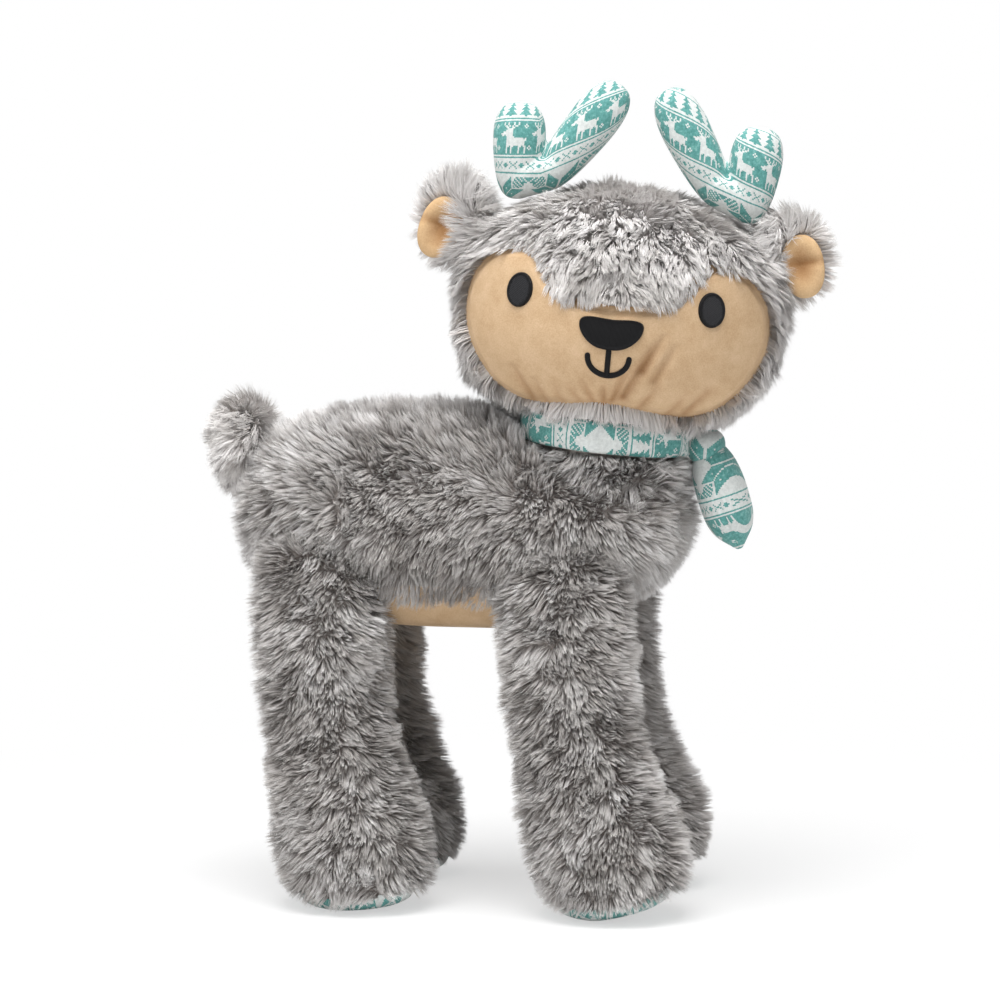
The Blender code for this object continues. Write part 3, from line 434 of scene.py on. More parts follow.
def make_print():
    """White velour printed with rows of a knitting chart."""
    material, tree, shader = new_cloth("white_velour_heat_printed", 0.8, 0.2)
    place = add_node(tree, "ShaderNodeTexCoord")
    cloth = add_node(tree, "ShaderNodeUVMap", {"uv_map": "cloth"})
    fuzz = add_node(tree, "ShaderNodeTexNoise", inputs={
        "Vector": place.outputs["Object"], "Scale": 1 / (0.8 * MM), "Detail": 2.0})
    nudge = add_node(tree, "ShaderNodeVectorMath", {"operation": "MULTIPLY_ADD"}, {
        0: fuzz.outputs["Color"], 1: (0.45 * MM,) * 3, 2: cloth.outputs["UV"]})
    cells = add_node(tree, "ShaderNodeVectorMath", {"operation": "SCALE"}, {
        0: nudge.outputs["Vector"], "Scale": 1 / STITCH})
    split = add_node(tree, "ShaderNodeSeparateXYZ", inputs={"Vector": cells.outputs["Vector"]})
    wrapped = add_node(tree, "ShaderNodeMath", {"operation": "FLOORED_MODULO"}, {
        0: split.outputs["Y"], 1: float(REPEAT_ROWS)})
    row = add_node(tree, "ShaderNodeMath", {"operation": "FLOOR"}, {0: wrapped.outputs[0]})

    across = {}
    for width in (11, 22, 44):
        share = add_node(tree, "ShaderNodeMath", {"operation": "MULTIPLY"}, {
            0: split.outputs["X"], 1: 1 / width})
        turn = add_node(tree, "ShaderNodeMath", {"operation": "FRACT"}, {0: share.outputs[0]})
        centred = add_node(tree, "ShaderNodeMath", {"operation": "SUBTRACT"}, {
            0: turn.outputs[0], 1: 0.5})
        folded = add_node(tree, "ShaderNodeMath", {"operation": "ABSOLUTE"}, {0: centred.outputs[0]})
        doubled = add_node(tree, "ShaderNodeMath", {"operation": "MULTIPLY"}, {
            0: folded.outputs[0], 1: 2.0})
        across[width] = (turn, doubled)

    ink = None

    def lit(low, high, value):
        """Ink from one row to another, added to what is there."""
        nonlocal ink
        middle, reach = (low + high) / 2, (high - low) / 2 + 0.5
        mask = add_node(tree, "ShaderNodeMath", {"operation": "COMPARE"}, {
            0: row.outputs[0], 1: middle, 2: reach})
        ink = add_node(tree, "ShaderNodeMath", {"operation": "MULTIPLY_ADD"}, {
            0: mask.outputs[0], 1: value, 2: ink.outputs[0] if ink else 0.0})

    def chart(rows, first, mirrored, factor, turned_round=False):
        """A motif's rows, each lit in its own row of the cloth, and mirrored about the first if asked."""
        for index, cells_of in enumerate(rows):
            if "X" not in cells_of and not turned_round:
                continue
            stops = steps_of(cells_of, turned_round)
            if len(stops) == 1:
                lit(first + index, first + index, 1.0 if stops[0][1][0] else 0.0)
                continue
            hard = add_node(tree, "ShaderNodeValToRGB", inputs={"Fac": factor.outputs[0]}, stops=stops)
            hard.color_ramp.interpolation = "CONSTANT"
            lit(first + index, first + index, hard.outputs["Color"])
            if mirrored and index:
                lit(first - index, first - index, hard.outputs["Color"])

    chart(FIR_CHART, 0, False, across[11][1])
    lit(14, 14, 1.0)
    lit(16, 16, 1.0)
    chart(DEER_CHART, 17, False, across[22][0], turned_round=True)
    lit(37, 37, 1.0)
    lit(39, 39, 1.0)
    chart(CROSS_CHART, 44, True, across[11][1])
    lit(49, 49, 1.0)
    chart(STAR_CHART, 70, True, across[44][1])
    lit(91, 91, 1.0)

    worn = add_node(tree, "ShaderNodeTexNoise", inputs={
        "Vector": place.outputs["Object"], "Scale": 1 / (1.6 * MM), "Detail": 4.0, "Roughness": 0.7})
    teal = add_node(tree, "ShaderNodeValToRGB", inputs={"Fac": worn.outputs["Fac"]}, stops=[
        (0.3, linear("#437f7b")), (0.55, linear("#5f9b96")), (0.75, linear("#8bb8b4"))])
    white = add_node(tree, "ShaderNodeValToRGB", inputs={"Fac": worn.outputs["Fac"]}, stops=[
        (0.3, linear("#bfc4c2")), (0.65, linear("#d8dcda"))])
    mix = add_node(tree, "ShaderNodeMix", {"data_type": "RGBA"}, {
        "Factor": ink.outputs[0], "A": white.outputs["Color"], "B": teal.outputs["Color"]})
    bump = add_node(tree, "ShaderNodeBump", inputs={
        "Height": worn.outputs["Fac"], "Strength": 0.6, "Distance": 0.4 * MM})
    tree.links.new(mix.outputs["Result"], shader.inputs["Base Color"])
    tree.links.new(bump.outputs["Normal"], shader.inputs["Normal"])
    print("nodes in the print", len(tree.nodes))
    return material


printed_velour = make_print()

# %% [markdown]
# Eyes and nose are machine embroidery: rayon thread laid side by side, with a raised satin stitch
# round the edge. Rows of thread catch the light along their length, and that sheen is painted into
# the colour: lighter on each row, darker in the gaps between. The fill stitch is a lighter copy of
# the same black thread, painted sheen. The rows lie 0.4 mm apart, drawn at 0.55 mm so that they show.

# %% Black embroidery thread
def make_thread(name, code, angle, shine):
    """Rows of thread in one direction, as bars across the patch's own map turned to the stitch."""
    material, tree, shader = new_cloth(name, shine)
    place = add_node(tree, "ShaderNodeUVMap", {"uv_map": "cloth"})
    turned = add_node(tree, "ShaderNodeMapping", inputs={
        "Vector": place.outputs["UV"], "Rotation": (0, 0, angle)})
    bars = add_node(tree, "ShaderNodeTexWave", {"wave_profile": "SIN"}, {
        "Vector": turned.outputs["Vector"], "Scale": 2 * math.pi / 20 / (0.55 * MM),
        "Distortion": 1.2, "Detail": 2.0, "Detail Scale": 2.0})
    # Painted sheen and shade: the colour runs from near black in the gaps to lighter on each row
    colour = add_node(tree, "ShaderNodeValToRGB", inputs={"Fac": bars.outputs["Fac"]}, stops=[
        (0.0, linear("#0b0b0c")), (1.0, linear(code))])
    bump = add_node(tree, "ShaderNodeBump", inputs={
        "Height": bars.outputs["Fac"], "Strength": 0.8, "Distance": 0.25 * MM})
    tree.links.new(colour.outputs["Color"], shader.inputs["Base Color"])
    tree.links.new(bump.outputs["Normal"], shader.inputs["Normal"])
    return material


satin_thread = make_thread("black_rayon_satin_stitch", "#1b1b1d", 0.0, 0.42)
# The fill stitch is a lighter copy of the same black thread: painted sheen
fill_thread = make_thread("black_rayon_fill_stitch", "#3a3a3d", math.radians(35), 0.6)


# %% Loose fibre for the fillings, which nothing shows
def make_fibre():
    """Tangled white polyester fibre."""
    material, tree, shader = new_cloth("white_polyester_fibre", 0.95)
    place = add_node(tree, "ShaderNodeTexCoord")
    tangle = add_node(tree, "ShaderNodeTexNoise", inputs={
        "Vector": place.outputs["Object"], "Scale": 300.0, "Detail": 6.0, "Distortion": 2.0})
    colour = add_node(tree, "ShaderNodeValToRGB", inputs={"Fac": tangle.outputs["Fac"]}, stops=[
        (0.3, linear("#d9d8d4")), (0.7, linear("#f4f3f0"))])
    tree.links.new(colour.outputs["Color"], shader.inputs["Base Color"])
    return material


loose_fibre = make_fibre()

# %% [markdown]
# ## Windows in the coat
#
# The coat stops at the seams of the face, the belly and the soles. Each window is an outline in a
# flat view of its form. Inside it lies a velour panel, which dives below the coat at its edge, as a
# seam pulls cloth in, and fills out again a few millimetres further in.

# %% Outlines and the depth of a point inside them
FACE_OUTLINE_SHARES = (
    (0.00, -0.74), (0.28, -0.79), (0.52, -0.81), (0.72, -0.69), (0.86, -0.47), (0.94, -0.24),
    (0.96, -0.02), (0.93, 0.18), (0.86, 0.34), (0.76, 0.45), (0.64, 0.49), (0.53, 0.47),
    (0.46, 0.34), (0.38, 0.20), (0.22, 0.11), (0.00, 0.07),
)


def smooth_loop(points, steps):
    """Run a closed Catmull-Rom curve through points."""
    points = np.array(points)
    before, start, end, after = (np.roll(points, shift_by, axis=0) for shift_by in (1, 0, -1, -2))
    ways = np.arange(steps)[None, :, None] / steps
    b, s, e, a = (part[:, None, :] for part in (before, start, end, after))
    curve = (s * 2 + (e - b) * ways + (b * 2 - s * 5 + e * 4 - a) * ways ** 2
             + (s * 3 - b - e * 3 + a) * ways ** 3) / 2
    return curve.reshape(-1, 2)


def both_sides(shares, half_width, half_height, drop=0.0):
    """An outline given for one side, bottom to top, mirrored and smoothed."""
    right = [(x * half_width, z * half_height - drop) for x, z in shares]
    return smooth_loop(right + [(-x, z) for x, z in reversed(right[1:-1])], 6)


def depth_inside(outline, points):
    """How far each flat point lies inside a closed outline, negative outside."""
    start, end = outline, np.roll(outline, -1, axis=0)
    run = end - start
    away = np.full(len(points), np.inf)
    odd = np.zeros(len(points), bool)
    for a, b, along in zip(start, end, run):
        way = np.clip(((points - a) @ along) / (along @ along), 0, 1)
        away = np.minimum(away, np.linalg.norm(points - a - way[:, None] * along, axis=1))
        crosses = (a[1] > points[:, 1]) != (b[1] > points[:, 1])
        if crosses.any():
            reach = a[0] + (points[:, 1] - a[1]) * along[0] / (along[1] if along[1] else 1)
            odd ^= crosses & (points[:, 0] < reach)
    return np.where(odd, away, -away)


face_outline = both_sides(FACE_OUTLINE_SHARES, HEAD_HALF[0], HEAD_HALF[2])
belly_outline = smooth_loop([
    (x * 45 * MM, y * 74 * MM) for x, y in (
        (1, -0.9), (1, 0), (1, 0.9), (0.86, 1), (0, 1), (-0.86, 1), (-1, 0.9), (-1, 0), (-1, -0.9),
        (-0.86, -1), (0, -1), (0.86, -1))], 5)
print("points round the face", len(face_outline), "and the belly", len(belly_outline))

# %% [markdown]
# ## Nothing grows where the head turns
#
# The head's fur rests on the body in a bowl that it can turn in, and the scarf lies in a groove round
# the neck. Points of the body above either are pressed down to it, along the neck's own axis.

# %% Pressing points out of the bowl and the groove
def pressed_down(points, margin):
    """Points of the body, moved down out of the head's bowl and the scarf's groove."""
    local = moved(points, neck_frame.inverted())
    radius = np.hypot(local[:, 0], local[:, 1])
    wide, deep = HEAD_HALF[0] + PILE + margin, HEAD_HALF[2] + PILE + margin
    share = np.clip(radius / wide, 0, 1)
    bowl = -deep * (1 - share ** 2.35) ** (1 / 2.35)
    limit = np.where(radius < wide, bowl, np.inf)
    groove = BAND_TOP - BAND_HEIGHT - margin
    limit = np.where(radius < BAND_OUTER_RADIUS + margin, np.minimum(limit, groove), limit)
    near = local[:, 2] < limit + 60 * MM
    local[:, 2] = np.where(near & (local[:, 2] > limit), limit, local[:, 2])
    return moved(local, neck_frame)


def pressed_up(points, margin):
    """Points of the head, moved up off the scarf."""
    local = moved(points, neck_frame.inverted())
    radius = np.hypot(local[:, 0], local[:, 1])
    limit = np.where(radius < BAND_OUTER_RADIUS + margin, BAND_TOP + margin, -np.inf)
    local[:, 2] = np.maximum(local[:, 2], limit)
    return moved(local, neck_frame)

# %% [markdown]
# ## Fur
#
# Fur is thousands of hairs, but what the eye sees is its tufts. A hair here is one narrow blade,
# straight where the pile is short and bent once where it is long. Roots are scattered evenly over
# the backing, the flow says which way the pile lies, each tuft turns a little from it, and the tips
# of a tuft draw together. A real hair is 0.05 mm thick, too fine to draw, so a blade stands for a few.

# %% Scatter roots over a backing
rng = np.random.default_rng(29)
SCALE_DOWN = 1


def triangles_of(mesh):
    """A bmesh's triangles in one fixed order. The sphere's own faces come in another in each run."""
    mesh.verts.index_update()
    fans = []
    for face in mesh.faces:
        corners = list(face.verts)
        first = min(range(len(corners)), key=lambda index: corners[index].index)
        corners = corners[first:] + corners[:first]
        fans += [(corners[0], *corners[index:index + 2]) for index in range(1, len(corners) - 1)]
    return sorted(fans, key=lambda fan: [vertex.index for vertex in fan])


def scatter(mesh, spacing):
    """Even random places on a bmesh, one for each square of the spacing, with their normals."""
    triangles = triangles_of(mesh)
    corners = np.array([[vertex.co for vertex in triangle] for triangle in triangles])
    normals = np.array([[vertex.normal for vertex in triangle] for triangle in triangles])
    across = np.cross(corners[:, 1] - corners[:, 0], corners[:, 2] - corners[:, 0])
    areas = np.linalg.norm(across, axis=1) / 2
    count = int(areas.sum() / spacing ** 2 / SCALE_DOWN)
    picks = rng.choice(len(areas), count, p=areas / areas.sum())
    first, second = rng.random((2, count))
    over = first + second > 1
    first, second = np.where(over, 1 - first, first), np.where(over, 1 - second, second)
    weights = np.stack((1 - first - second, first, second), axis=1)[:, :, None]
    roots = (corners[picks] * weights).sum(axis=1)
    up = (normals[picks] * weights).sum(axis=1)
    return roots, up / np.linalg.norm(up, axis=1)[:, None]


def unit_rows(vectors):
    """Each row at length one."""
    return vectors / np.maximum(np.linalg.norm(vectors, axis=1), 1e-12)[:, None]


def waves(points, length, count=7):
    """Smooth noise from -1 to 1 in three columns, of about one wave length, from sines."""
    directions = unit_rows(rng.normal(size=(count * 3, 3)))
    lengths = length * rng.uniform(0.7, 1.6, count * 3)
    turns = rng.uniform(0, 2 * math.pi, count * 3)
    values = np.sin(points @ directions.T * (2 * math.pi / lengths) + turns)
    return values.reshape(len(points), 3, count).sum(axis=2) / math.sqrt(count)


def nearest(points, spacing, area):
    """For each point, which of a scattered set of centres lies nearest."""
    count = max(1, int(area / spacing ** 2))
    centres = points[rng.choice(len(points), min(count, len(points)), replace=False)]
    tree = KDTree(len(centres))
    for index, centre in enumerate(centres):
        tree.insert(centre, index)
    tree.balance()
    return np.array([tree.find(point)[1] for point in points]), len(centres)


def mean_of(values, groups, count):
    """The mean of each group's rows, given back to every member."""
    totals = np.stack([np.bincount(groups, column, count) for column in values.T], axis=1)
    return (totals / np.maximum(np.bincount(groups, minlength=count), 1)[:, None])[groups]


# %% Lay the pile and write the blades
def lay_pile(roots, up, flow, length, lean, spacing, press=None, tuft=6 * MM, lock=1.7 * MM, tone_and_painted_light=0.58,
             droop=0.0, order=1.0, gather=0.2):
    """Roots, bends and tips of hairs that follow a flow and draw together in tufts.

    The order is how far the tufts stray from the flow, and the gather how far they draw together.
    """
    area = len(roots) * spacing ** 2 * SCALE_DOWN
    tufts, tuft_count = nearest(roots, tuft, area)
    locks, lock_count = nearest(roots, lock, area)
    sway = 0.42 * waves(roots, 38 * MM) + 0.22 * waves(roots, 12 * MM)
    tuft_turn = rng.normal(0, 0.3, (tuft_count, 3))[tufts] + rng.normal(0, 0.2, (lock_count, 3))[locks]
    along = flow + order * (sway + tuft_turn) + rng.normal(0, 0.15, (len(roots), 3))
    along = unit_rows(along - (along * up).sum(axis=1)[:, None] * up)
    lean = lean + rng.normal(0, 0.16, tuft_count)[tufts] + rng.normal(0, 0.12, lock_count)[locks]
    length = length * (1 + rng.normal(0, 0.08, tuft_count)[tufts] + rng.normal(0, 0.1, len(roots)))
    length = length * (1 + 0.1 * waves(roots, 32 * MM)[:, 0])
    low, high = np.clip(lean * 0.55, 0, 1.5)[:, None], np.clip(lean * 1.3, 0, 1.75)[:, None]
    first = up * np.cos(low) + along * np.sin(low)
    second = up * np.cos(high) + along * np.sin(high)
    second = unit_rows(second - np.array((0, 0, 1.0)) * np.reshape(droop, (-1, 1)))
    bends = roots + first * (length * 0.45)[:, None]
    tips = bends + second * (length * 0.55)[:, None]
    drawn = 0.38 * (mean_of(tips, locks, lock_count) - tips)
    drawn = drawn + gather * (mean_of(tips, tufts, tuft_count) - tips)
    tips, bends = tips + drawn, bends + drawn * 0.3
    if press:
        tips, bends = press(tips), press(bends)
    tips[:, 2], bends[:, 2] = np.maximum(tips[:, 2], 0.2 * MM), np.maximum(bends[:, 2], 0.2 * MM)
    # Each hair's tone starts from the given base, which in places holds painted light or shade, and strays at
    # random by tuft and hair
    tone = tone_and_painted_light + 0.13 * rng.normal(size=tuft_count)[tufts] + 0.09 * rng.normal(size=len(roots))
    tone += 0.08 * waves(roots, 60 * MM)[:, 0]
    return roots, bends, tips, up, np.clip(tone, 0.02, 0.98)


TONE_STEPS = 64


def write_blades(name, laid, material, body, width, bent=True):
    """One object of pointed blades, its map holding tone across and height along."""
    roots, bends, tips, up, tone = laid
    count = len(roots)
    spin = rng.uniform(-0.5, 0.5, count)[:, None]
    along = unit_rows(tips - roots)
    side = unit_rows(np.cross(along, up))
    side = side * np.cos(spin) + np.cross(along, side) * np.sin(spin)
    half = side * width * rng.uniform(0.38, 0.62, count)[:, None]
    if bent:
        bend_half = 0.84 * half
        points = np.stack((roots - half, roots + half, bends - bend_half, bends + bend_half, tips), axis=1)
        corners, starts = (0, 1, 3, 2, 2, 3, 4), (0, 4)
        heights, places = (0.0, 0.0, 0.5, 0.5, 0.5, 0.5, 1.0), (0.1, 0.9, 0.9, 0.1, 0.1, 0.9, 0.5)
    else:
        points = np.stack((roots - half, roots + half, tips), axis=1)
        corners, starts, heights, places = (0, 1, 2), (0,), (0.0, 0.0, 1.0), (0.1, 0.9, 0.5)
    rows = np.arange(count)[:, None]
    data = bpy.data.meshes.new(name)
    data.vertices.add(count * points.shape[1])
    data.vertices.foreach_set("co", points.ravel())
    data.loops.add(count * len(corners))
    loops = rows * points.shape[1] + np.array(corners)
    data.loops.foreach_set("vertex_index", loops.ravel().astype(np.int32))
    data.polygons.add(count * len(starts))
    loop_starts = rows * len(corners) + np.array(starts)
    data.polygons.foreach_set("loop_start", loop_starts.ravel().astype(np.int32))
    columns = (np.floor(tone * TONE_STEPS)[:, None] + np.array(places)) / TONE_STEPS
    pairs = np.stack((columns, np.broadcast_to(0.02 + 0.96 * np.array(heights), columns.shape)), axis=2)
    layer = data.uv_layers.new(name="OFBake")
    layer.uv.foreach_set("vector", pairs.ravel())
    data.update(calc_edges=True)
    link_piece(name, data, material, body)


def keep(roots, up, wanted):
    """Only the wanted roots."""
    return roots[wanted], up[wanted]


def sunk_in(tree, points, margin):
    """Which points lie deeper than a margin inside the closed form of a tree."""
    deep = []
    for point in points:
        place, normal, _, _ = tree.find_nearest(point)
        deep.append((Vector(point) - place).dot(normal) < -margin)
    return np.array(deep)

# %% [markdown]
# ## The body's coat
#
# The pile of the body flows down the sides, backwards over the back and forwards over the chest. The
# backing is the form at the cloth, pressed down under the head.

# %% Body and leg backings
HAIR_SPACING, HAIR_WIDTH = 0.5 * MM, 0.38 * MM


def make_filling(name, form, body, node, press):
    """Loose fibre that fills a cover, well inside its cloth."""
    mesh, units = sphere_points((48, 32))
    points = form(units, -5 * MM)
    if press:
        points = press(points)
    points[:, 2] = np.maximum(points[:, 2], 2.2 * MM)
    place_points(mesh, points)
    add_piece(name, mesh, loose_fibre, body, node)


def make_backing(name, form, facets, body, node, press=None, growth=0.0):
    """A closed backing on a form, and a tree of it for finding what lies inside."""
    if node.endswith("_cover"):
        make_filling(name.replace("_coat", "_fibre"), form, body, node.replace("_cover", "_filling"), press)
    mesh, units = sphere_points(facets)
    points = form(units, growth(form(units, 0.0)) if callable(growth) else growth)
    if press:
        points = press(points)
    points[:, 2] = np.maximum(points[:, 2], 0.3 * MM)
    place_points(mesh, points)
    tree = BVHTree.FromBMesh(mesh)
    copy = mesh.copy()
    # The head, ears and tail take the paler copy of the backing, painted light
    material = grey_backing if body == "torso" else backing_painted_light
    add_piece(name, mesh, material, body, node)
    return copy, tree


body_mesh, body_tree = make_backing(
    "body_coat", body_form, (96, 64), "torso", "body_cover", lambda p: pressed_down(p, 3 * MM),
    -2.0 * MM)
leg_parts = {}
for pair, settings in LEGS.items():
    for word, side in SIDES:
        name = pair + "_" + word
        form = leg_form(side, **settings)
        mesh, tree = make_backing(
            name + "_coat", form, (56, 48), "torso", name + "_cover", None, -2.2 * MM)
        leg_parts[name] = (form, mesh, tree, side, settings)

# %% Body fur
BELLY_FUR_TOP = 151 * MM


def flat_under(points):
    """Flat places under the body, about its middle."""
    return points[:, :2] - np.array((0, BODY["back"])) - np.array(shift)[:2]


def over_collar(points):
    """Tips of the body's pile: they stop at the head, but fold up over the lower edge of the scarf."""
    local = moved(points, neck_frame.inverted())
    radius = np.hypot(local[:, 0], local[:, 1])
    pressed = moved(pressed_down(points, 0.3 * MM), neck_frame.inverted())
    lift = 4 * MM * np.clip((radius - BAND_OUTER_RADIUS) / (4 * MM), 0, 1) * (radius < 62 * MM)
    lift = np.where(local[:, 1] > 10 * MM, 0, lift)
    pressed[:, 2] = np.minimum(local[:, 2], pressed[:, 2] + lift)
    return moved(pressed, neck_frame)


roots, up = scatter(body_mesh, HAIR_SPACING)
bare = (depth_inside(belly_outline, flat_under(roots)) > 0) & (roots[:, 2] < BELLY_FUR_TOP)
roots, up = keep(roots, up, ~bare)
for _, _, leg_tree, _, _ in leg_parts.values():
    roots, up = keep(roots, up, ~sunk_in(leg_tree, roots, 1.5 * MM))
local = moved(roots, neck_frame.inverted())
hidden = (np.hypot(local[:, 0], local[:, 1]) < 43 * MM) & (local[:, 2] > -75 * MM) & (local[:, 2] < 0)
roots, up = keep(roots, up, ~hidden)
flow = np.zeros_like(roots) + np.array((0, 0.4, -0.75))
flow[:, 1] += 0.5 * np.clip((roots[:, 2] - 205 * MM) / (25 * MM), 0, 1)
flow[:, 1] -= 1.0 * np.clip((-roots[:, 1] - 30 * MM) / (30 * MM), 0, 1)
flow[:, 2] -= 0.6 * np.clip((200 * MM - roots[:, 2]) / (50 * MM), 0, 1)
whorl = roots - np.array((0, -12 * MM, 200 * MM))
whorl[:, 0] = 0
flow += 0.5 * unit_rows(whorl) * np.exp(-(np.linalg.norm(whorl, axis=1) / (32 * MM)) ** 2)[:, None]
seam = np.clip(np.abs(depth_inside(belly_outline, flat_under(roots))) / (7 * MM), 0.5, 1)
length = np.where(roots[:, 2] < 158 * MM, 9.2 * seam, 9.2) * MM
# Painted light and shade in the hairs' tone: lighter on top of the back, darker in a patch of the lower flank
# between the hips
rise, back = (roots[:, 2] - 172 * MM) / (24 * MM), (roots[:, 1] - 38 * MM) / (40 * MM)
tone_and_painted_light = 0.6 - 0.36 * np.exp(-rise ** 2 - back ** 2)
tone_and_painted_light = tone_and_painted_light + 0.2 * np.clip((roots[:, 2] - 200 * MM) / (20 * MM), 0, 1)
laid = lay_pile(roots, up, flow, length, 0.36, HAIR_SPACING, over_collar, tone_and_painted_light=tone_and_painted_light)
for name, start, end in (("rump_pile", 45, 999), ("back_pile", -5, 45), ("chest_pile", -999, -5)):
    here = (roots[:, 1] >= start * MM) & (roots[:, 1] < end * MM)
    hairs = [part[here] for part in laid]
    write_blades(name, hairs, grey_pile, "torso", HAIR_WIDTH, bent=False)

# %% [markdown]
# The legs are cut in one with the coat, so their pile carries on down to the foot, flares over the
# edge of the sole and brushes the ground.

# %% Leg fur
SOLE_HALF_WIDTH, SOLE_HALF_LENGTH, SOLE_TOP = 20.5 * MM, 28.5 * MM, 27 * MM


def foot_middle(side, settings):
    """The flat place of a foot's middle."""
    return np.array((side * FOOT_SIDE, settings["hip_back"] - settings["reach"])) + np.array(shift)[:2]


for name, (_, mesh, _, side, settings) in leg_parts.items():
    roots, up = scatter(mesh, HAIR_SPACING)
    reach = (roots[:, :2] - foot_middle(side, settings)) / np.array((SOLE_HALF_WIDTH, SOLE_HALF_LENGTH))
    oval = (reach ** 2).sum(axis=1) < 1
    roots, up = keep(roots, up, ~(oval & (roots[:, 2] < SOLE_TOP)))
    roots, up = keep(roots, up, ~sunk_in(body_tree, roots, 1.5 * MM))
    flow = np.zeros_like(roots) + np.array((0, 0, -1.0))
    foot = np.clip(1 - roots[:, 2] / (34 * MM), 0, 1)
    flow[:, :2] += up[:, :2] * (0.5 + 1.2 * foot[:, None])
    laid = lay_pile(roots, up, flow, (9.4 - 1.4 * foot) * MM, 0.4, HAIR_SPACING, tone_and_painted_light=0.54 + 0.3 * foot)
    write_blades(name + "_pile", laid, grey_pile, "torso", HAIR_WIDTH, bent=False)

# %% [markdown]
# ## The head
#
# The pile of the head starts from a crown on top and runs down all round, so that it falls over the
# forehead in a point between the eyes.

# %% Head backing and fur
def soft_step(value):
    """Smoothly from 0 to 1 as the value does."""
    value = np.clip(value, 0, 1)
    return value * value * (3 - 2 * value)


def face_flat(points):
    """Flat places on the face, seen from its front."""
    local = moved(points, head_frame.inverted())
    return local[:, [0, 2]], local[:, 1] < 0


def backing_growth(points):
    """The head's backing keeps below the creases of the face."""
    flat, front = face_flat(points)
    return -1.6 * MM - 4.5 * MM * soft_step(np.where(front, depth_inside(face_outline, flat), 0) / (6 * MM))


head_mesh, _ = make_backing(
    "head_coat", head_form, (128, 80), "head", "head_cover", lambda p: pressed_up(p, 1 * MM),
    backing_growth)
HEAD_SPACING = 0.54 * MM
roots, up = scatter(head_mesh, HEAD_SPACING)
local = moved(roots, head_frame.inverted())
flat = local[:, [0, 2]]
flat[:, 1] -= 4 * MM * np.exp(-(flat[:, 0] / (26 * MM)) ** 2) * (flat[:, 1] > -5 * MM)
inside = depth_inside(face_outline, flat)
roots, up = keep(roots, up, ~((inside > 0.8 * MM) & (local[:, 1] < 0)))
local = moved(roots, head_frame.inverted())
over_neck = (np.hypot(local[:, 0], local[:, 1]) < 34 * MM) & (local[:, 2] < -46 * MM)
roots, up = keep(roots, up, ~over_neck)
local = moved(roots, head_frame.inverted())
crown = np.array((0, 16 * MM, 58 * MM))
away = unit_rows(local - crown)
near_crown = np.exp(-(np.linalg.norm(local - crown, axis=1) / (17 * MM)) ** 2)
away[:, 2] -= 0.35
flow = away @ np.array(head_frame.to_3x3()).T
edge = np.clip(-depth_inside(face_outline, local[:, [0, 2]]) / (12 * MM), 0, 1)
edge = np.where(local[:, 1] < 0, edge, 1)
fringe = (1 - edge) * (local[:, 2] > -12 * MM) * (np.abs(local[:, 0]) < 48 * MM)
near_ear, near_antler = np.zeros(len(roots)), np.full(len(roots), 1.0)
for word, side in SIDES:
    gap = np.linalg.norm(local - np.array((side * 76 * MM, 0, 36 * MM)), axis=1)
    near_ear += np.exp(-(gap / (17 * MM)) ** 2)
    reach = ((local[:, 0] - side * 45 * MM) / (25 * MM)) ** 2 + ((local[:, 1] + 2 * MM) / (15 * MM)) ** 2
    near_antler = np.minimum(near_antler, np.where(local[:, 2] > 30 * MM, np.clip(reach - 0.35, 0.35, 1), 1))
chin = np.clip((-local[:, 2] - 34 * MM) / (6 * MM), 0, 1) * (local[:, 1] < 10 * MM)
chin = chin * rng.uniform(0.4, 1, len(local))
bare_chin = chin * soft_step((-22 * MM - local[:, 0]) / (6 * MM))
bare_chin = bare_chin * soft_step((local[:, 0] + 44 * MM) / (6 * MM))
length = 11.0 + 0.6 * edge - 2.2 * fringe + 4.5 * near_ear
length = (length - 1.0 * chin - 5.0 * bare_chin - 1.0 * near_crown) * MM
length = (length - 2.5 * MM * np.clip((local[:, 2] - 34 * MM) / (10 * MM), 0, 1)) * near_antler
# Painted shade: the hairs on the front of the head get a darker tone over the forehead
forehead = np.exp(-(local[:, 0] / (36 * MM)) ** 2 - ((local[:, 2] - 13 * MM) / (13 * MM)) ** 2)
tone_and_painted_light = 0.84 - 0.42 * forehead * (local[:, 1] < 0)
lean = 0.78 + 0.37 * fringe - 0.3 * near_ear - 0.1 * chin - 0.1 * near_crown
laid = lay_pile(roots, up, flow, length, lean, HEAD_SPACING, lambda p: pressed_up(p, 0.4 * MM),
                tuft=6 * MM, lock=1.9 * MM, tone_and_painted_light=tone_and_painted_light, droop=0.8 * chin, order=0.65, gather=0.1)
front, top = local[:, 1] < 0, local[:, 2] > 18 * MM
for name, here in (
    ("crown_pile", top), ("cheek_pile", front & ~top), ("back_of_head_pile", ~front & ~top),
):
    write_blades(name, [part[here] for part in laid], pile_painted_light, "head", 0.42 * MM)

# %% [markdown]
# The face panel is cut flat and gathered at the chin to make the muzzle stand out, so creases fan out
# from the gather below the mouth.

